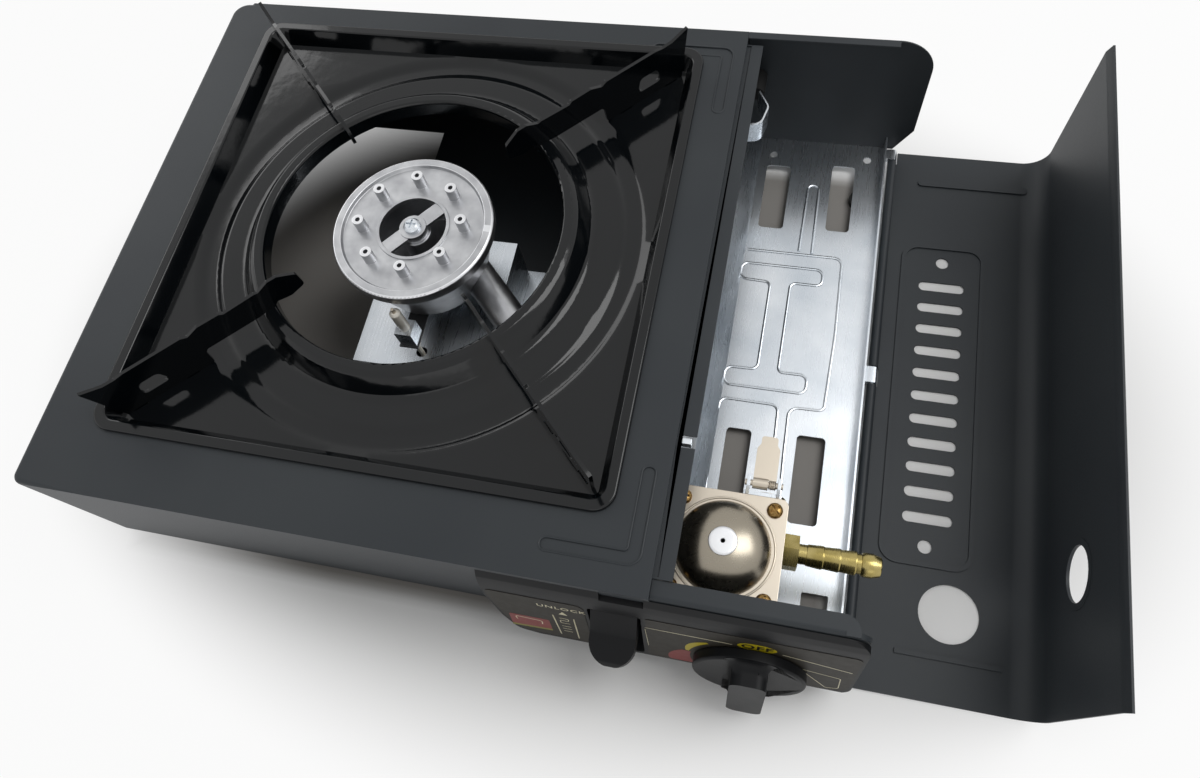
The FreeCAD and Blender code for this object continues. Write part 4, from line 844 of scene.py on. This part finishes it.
class STOVE_OT_bay(bpy.types.Operator):
    """Tray, hinge rod, bumper and its clip"""

    bl_idname = "stove.bay"
    bl_label = "Canister bay"

    def execute(self, context):
        tray = joined_copy("canister_tray")
        # The solid's plain ridges make way for rounded ones
        pick(tray, "FACE", lambda p: (
            TRAY_FLOOR - 0.01 < p.z < TRAY_FLOOR + SHEET + 0.01 and 278.0 < p.x < 330.0 and (
                p.z > TRAY_FLOOR + 0.01 or ridge_wall(p))))
        bpy.ops.mesh.delete(type="FACE")
        bpy.ops.mesh.select_all(action="SELECT")
        bpy.ops.mesh.delete_loose(use_verts=True, use_edges=True)
        bpy.ops.mesh.select_all(action="SELECT")
        bpy.ops.mesh.fill_holes(sides=0)
        bpy.ops.mesh.select_all(action="SELECT")
        bpy.ops.mesh.normals_make_consistent(inside=False)
        bpy.ops.object.mode_set(mode="OBJECT")
        # The front opening sits further to the right than in the solid
        level = plane_at(0.0, 0.0, 0.0)
        infill = flat_shape("tray_infill", [[
            (311.0, 13.8), (324.5, 13.8), (324.5, 26.2), (311.0, 26.2)]],
            TRAY_FLOOR - SHEET, TRAY_FLOOR, level)
        carved(tray, infill, "UNION")
        window = flat_shape("tray_window", [[
            (322.4, 19.4, 0.8), (333.6, 19.4, 0.8), (333.6, 26.4, 0.8), (322.4, 26.4, 0.8)]], 0.5, 6.0, level)
        carved(tray, window)
        finished(tray, "canister_tray", "zinc", 0.2)
        floor = plane_at(0.0, 0.0, TRAY_FLOOR)
        high = 0.6
        wide = 1.5
        lines = [
            ("tray_ridge_i", [
                (275.6, 185.0, 3.6), (315.6, 185.0, 3.6), (315.6, 176.0, 3.0), (300.6, 176.0, 3.0),
                (300.3, 127.0, 2.4), (314.0, 127.2, 3.4), (314.0, 117.6, 3.4), (275.6, 117.6, 3.6),
                (275.6, 126.8, 3.6), (290.6, 127.2, 3.0), (290.9, 175.2, 3.0), (275.6, 175.8, 3.6)], True),
            ("tray_ridge_zone", [
                (277.6, 192.8), (324.0, 192.8, 4.0), (324.6, 150.0), (323.2, 110.4, 2.6),
                (307.5, 110.0, 4.5), (307.8, 86.3), (308.6, 60.0)], False),
            ("tray_ridge_rib", [
                (302.5, 194.8), (303.0, 235.4, 2.6), (308.4, 235.0, 2.6), (308.9, 194.0)], False),
            ("tray_ridge_slot", [
                (275.4, 62.0), (274.3, 98.0), (276.0, 110.4, 3.6),
                (302.6, 110.2, 3.6), (303.0, 90.0)], False),
        ]
        ridges = [bead(name, run, wide, high, floor, closed) for name, run, closed in lines]
        added(one_piece("tray_ridges", ridges), "canister_tray", "zinc")
        dressed("hinge_rod", "zinc")
        dressed("canister_bumper", "rubber", 0.5)
        dressed("bumper_clip", "zinc", 0.15)
        return {"FINISHED"}


class STOVE_OT_lid(bpy.types.Operator):
    """Lid of the canister bay"""

    bl_idname = "stove.lid"
    bl_label = "Lid"

    def execute(self, context):
        dressed("lid", "coat", 0.2)
        return {"FINISHED"}


class STOVE_OT_pan(bpy.types.Operator):
    """Drip pan with its four supports"""

    bl_idname = "stove.pan"
    bl_label = "Drip pan"

    def execute(self, context):
        dressed("drip_pan", "enamel", 0.25)
        for side in ("front_left", "front_right", "back_left", "back_right"):
            dressed("pan_support_" + side, "enamel", 0.3)
        return {"FINISHED"}


class STOVE_OT_burner(bpy.types.Operator):
    """Burner, gas way, bracket and spark electrode"""

    bl_idname = "stove.burner"
    bl_label = "Burner"

    def execute(self, context):
        dressed("burner_bowl", "cast", 0.4)
        dressed("mixing_tube", "cast", 0.3)
        cap = dressed("burner_cap", "cast", 0.25)
        # The rim and the tops of the nozzles are machined bright
        cap.data.materials.append(FINISH["milled"])
        for face in cap.data.polygons:
            spot = (face.center - SHIFT) * 1000.0
            out = math.hypot(spot.x - BURNER_AT[0], spot.y - BURNER_AT[1])
            if face.normal.z > 0.7 and (spot.z > 83.5 or (out > 32.0 and spot.z > 78.0)):
                face.material_index = 1
        for node, finish, ease in (
                ("burner_screw", "zinc", 0.15), ("burner_bracket", "zinc", 0.2),
                ("air_shutter", "zinc", 0.15), ("jet_holder", "zinc", 0.15),
                ("gas_jet", "brass", 0.3), ("gas_pipe", "cast", 0.0),
                ("electrode_ceramic", "porcelain", 0.2), ("electrode_rod", "nickel", 0.2),
                ("electrode_block", "zinc", 0.3), ("electrode_strip", "oxide", 0.15),
                ("igniter_wire", "sleeve", 0.0)):
            dressed(node, finish, ease)
        return {"FINISHED"}


class STOVE_OT_regulator(bpy.types.Operator):
    """Regulator with its dome, screws, hose nipple, inlet and tongue"""

    bl_idname = "stove.regulator"
    bl_label = "Regulator"

    def execute(self, context):
        dressed("regulator_body", "cast", 0.4)
        dressed("valve_stub", "cast", 0.3)
        dressed("diaphragm", "rubber")
        dressed("regulator_plate", "nickel", 0.25)
        top = plane_at(REGULATOR_AT[0], REGULATOR_AT[1], REGULATOR_TOP)
        wide = 18.3
        tall = 11.2
        rise = []
        for k in range(1, 19):
            turn = math.radians(72.2 * k / 18.0)
            rise.append((wide * math.cos(turn), tall * math.sin(turn)))
        shell = [(0.0, 9.5), (5.4, 9.4), (8.0, 8.6), (11.2, 7.0), (14.4, 4.6), (16.4, 2.0), (17.2, 0.0),
                 (18.3, 0.0)] + rise + [(5.3, 10.7), (0.0, 10.7)]
        finished(lathe("dome_spun", shell, top, 96), "regulator_dome", "mirror", angle=50.0)
        button = [(0.0, 10.7), (5.2, 10.7), (5.45, 10.9), (5.45, 11.25), (5.1, 11.6), (4.4, 11.7),
                  (0.9, 11.65), (0.75, 11.3), (0.6, 10.3), (0.0, 10.2)]
        finished(lathe("spring_button", button, top), "spring_cap", "milled", angle=40.0)
        circle = ring_points(19.7, 19.7, 72)
        added(bead("plate_ring", circle, 0.9, 0.35, top), "regulator_plate", "nickel", 60.0)
        head = lathe("screw_pattern", [
            (0.0, -1.4), (1.45, -1.4), (1.45, 0.0), (3.05, 0.0), (3.1, 0.35), (2.95, 0.9), (2.5, 1.4),
            (1.8, 1.75), (0.9, 1.88), (0.0, 1.9)], Matrix.Identity(4), 32)
        carved(head, flat_shape("driver_cross", [cross_recess(2.1, 1.05)], 0.5, 3.0, Matrix.Identity(4)))
        spots = []
        for k, (x, y) in enumerate(((-17.5, -17.5), (17.5, -17.5), (17.5, 17.5), (-17.5, 17.5))):
            spots.append(top @ Matrix.Translation((x, y, 0.0)) @ Matrix.Rotation(0.5 + 0.9 * k, 4, "Z"))
        finished(one_piece("plate_screws", copies(head, spots)), "regulator_screws", "screw", angle=35.0)
        # The nipple's own axis points right
        out = plane_at(*NIPPLE_AT, (0.0, 1.0, 0.0), (0.0, 0.0, 1.0))
        reach = 6.25 / math.cos(math.radians(30.0))
        hexagon = [(reach * math.cos(math.radians(60 * k + 30)), reach * math.sin(math.radians(60 * k + 30)))
                   for k in range(6)]
        nut = bevelled(flat_shape("nipple_hexagon", [hexagon], 0.0, 8.5, out), 0.5, 2)
        barbs = lathe("nipple_barbs", [
            (0.0, 2.0), (3.9, 2.0), (3.9, 11.6), (4.2, 12.0), (4.65, 17.6), (4.45, 18.0), (4.3, 18.3),
            (4.65, 23.8), (4.45, 24.2), (4.3, 24.5), (4.68, 29.8), (4.5, 30.4), (3.9, 30.6), (3.9, 32.2),
            (4.3, 32.4), (4.7, 33.4), (4.7, 36.4), (4.3, 37.6), (3.9, 39.3), (3.5, 39.7), (1.8, 39.7),
            (1.8, 14.0), (0.0, 14.0)], out, 40)
        finished(one_piece("nipple_turned", [nut, barbs]), "hose_nipple", "brass", angle=35.0)
        inlet = plane_at(*INLET_AT, (-1.0, 0.0, 0.0), (0.0, 0.0, 1.0))
        ring = lathe("inlet_ring", [
            (8.05, 0.0), (9.6, 0.0), (9.6, 4.9), (9.2, 5.5), (8.4, 5.5), (8.05, 5.1), (8.05, 0.0)], inlet, 56)
        finished(ring, "inlet_collar", "rubber")
        for node, finish, ease in (
                ("inlet_socket", "brass", 0.2), ("pressure_pin", "brass", 0.1),
                ("tongue_bracket", "zinc", 0.1), ("tongue_pin", "nickel", 0.1),
                ("guide_tongue", "nickel", 0.1), ("tongue_spring", "nickel", 0.0),
                ("piezo_igniter", "abs", 0.3), ("igniter_plunger", "nickel", 0.2)):
            dressed(node, finish, ease)
        return {"FINISHED"}


class STOVE_OT_controls(bpy.types.Operator):
    """Knob, spindle, lever and locking linkage"""

    bl_idname = "stove.controls"
    bl_label = "Controls"

    def execute(self, context):
        knob = joined_copy("knob")
        dial = plane_at(*KNOB_AT, (1.0, 0.0, 0.0), FACE_UP)
        back = dial.inverted()
        for point in knob.data.vertices:
            spot = back @ point.co
            if spot.z > 4.9 and 1.0 < abs(spot.x) < 5.6 and abs(spot.y) < 19.1:
                spot.x *= GRIP_WIDENING
                point.co = dial @ spot
        rolled(knob, 4.6, 5, lambda p: abs(p.z - 5.0) < 0.05 and abs(p.x) < 6.5 and abs(p.y) < 19.1, dial)
        finished(knob, "knob", "abs", 1.3, segments=3)
        dressed("valve_spindle", "brass", 0.2)
        dressed("lock_lever", "abs", 0.6, segments=3)
        for node in ("lever_carrier", "lock_crank", "lock_slide", "slide_guides", "crank_pivot"):
            dressed(node, "zinc", 0.15)
        return {"FINISHED"}


class STOVE_PT_panel(bpy.types.Panel):
    """Lists the sizes and the pieces"""

    bl_idname = "STOVE_PT_panel"
    bl_label = "Cassette stove"
    bl_space_type = "VIEW_3D"
    bl_region_type = "UI"
    bl_category = "Stove"

    def draw(self, context):
        sizes = context.scene.stove
        for name in ("edge", "floor", "light", "surround"):
            self.layout.prop(sizes, name)
        for maker in MAKERS:
            self.layout.operator(maker.bl_idname)


MAKERS = (STOVE_OT_stage, STOVE_OT_casing, STOVE_OT_panel, STOVE_OT_bay, STOVE_OT_lid, STOVE_OT_pan,
          STOVE_OT_burner, STOVE_OT_regulator, STOVE_OT_controls)
CLASSES = (StoveSizes,) + MAKERS + (STOVE_PT_panel,)


def register():
    for made in CLASSES:
        bpy.utils.register_class(made)
    bpy.types.Scene.stove = bpy.props.PointerProperty(type=StoveSizes)


def unregister():
    del bpy.types.Scene.stove
    for made in reversed(CLASSES):
        bpy.utils.unregister_class(made)


def main():
    register()
    finishes()
    bpy.ops.stove.stage()
    bpy.ops.stove.casing()
    bpy.ops.stove.panel()
    bpy.ops.stove.bay()
    bpy.ops.stove.lid()
    bpy.ops.stove.pan()
    bpy.ops.stove.burner()
    bpy.ops.stove.regulator()
    bpy.ops.stove.controls()


if __name__ == "__main__":
    main()
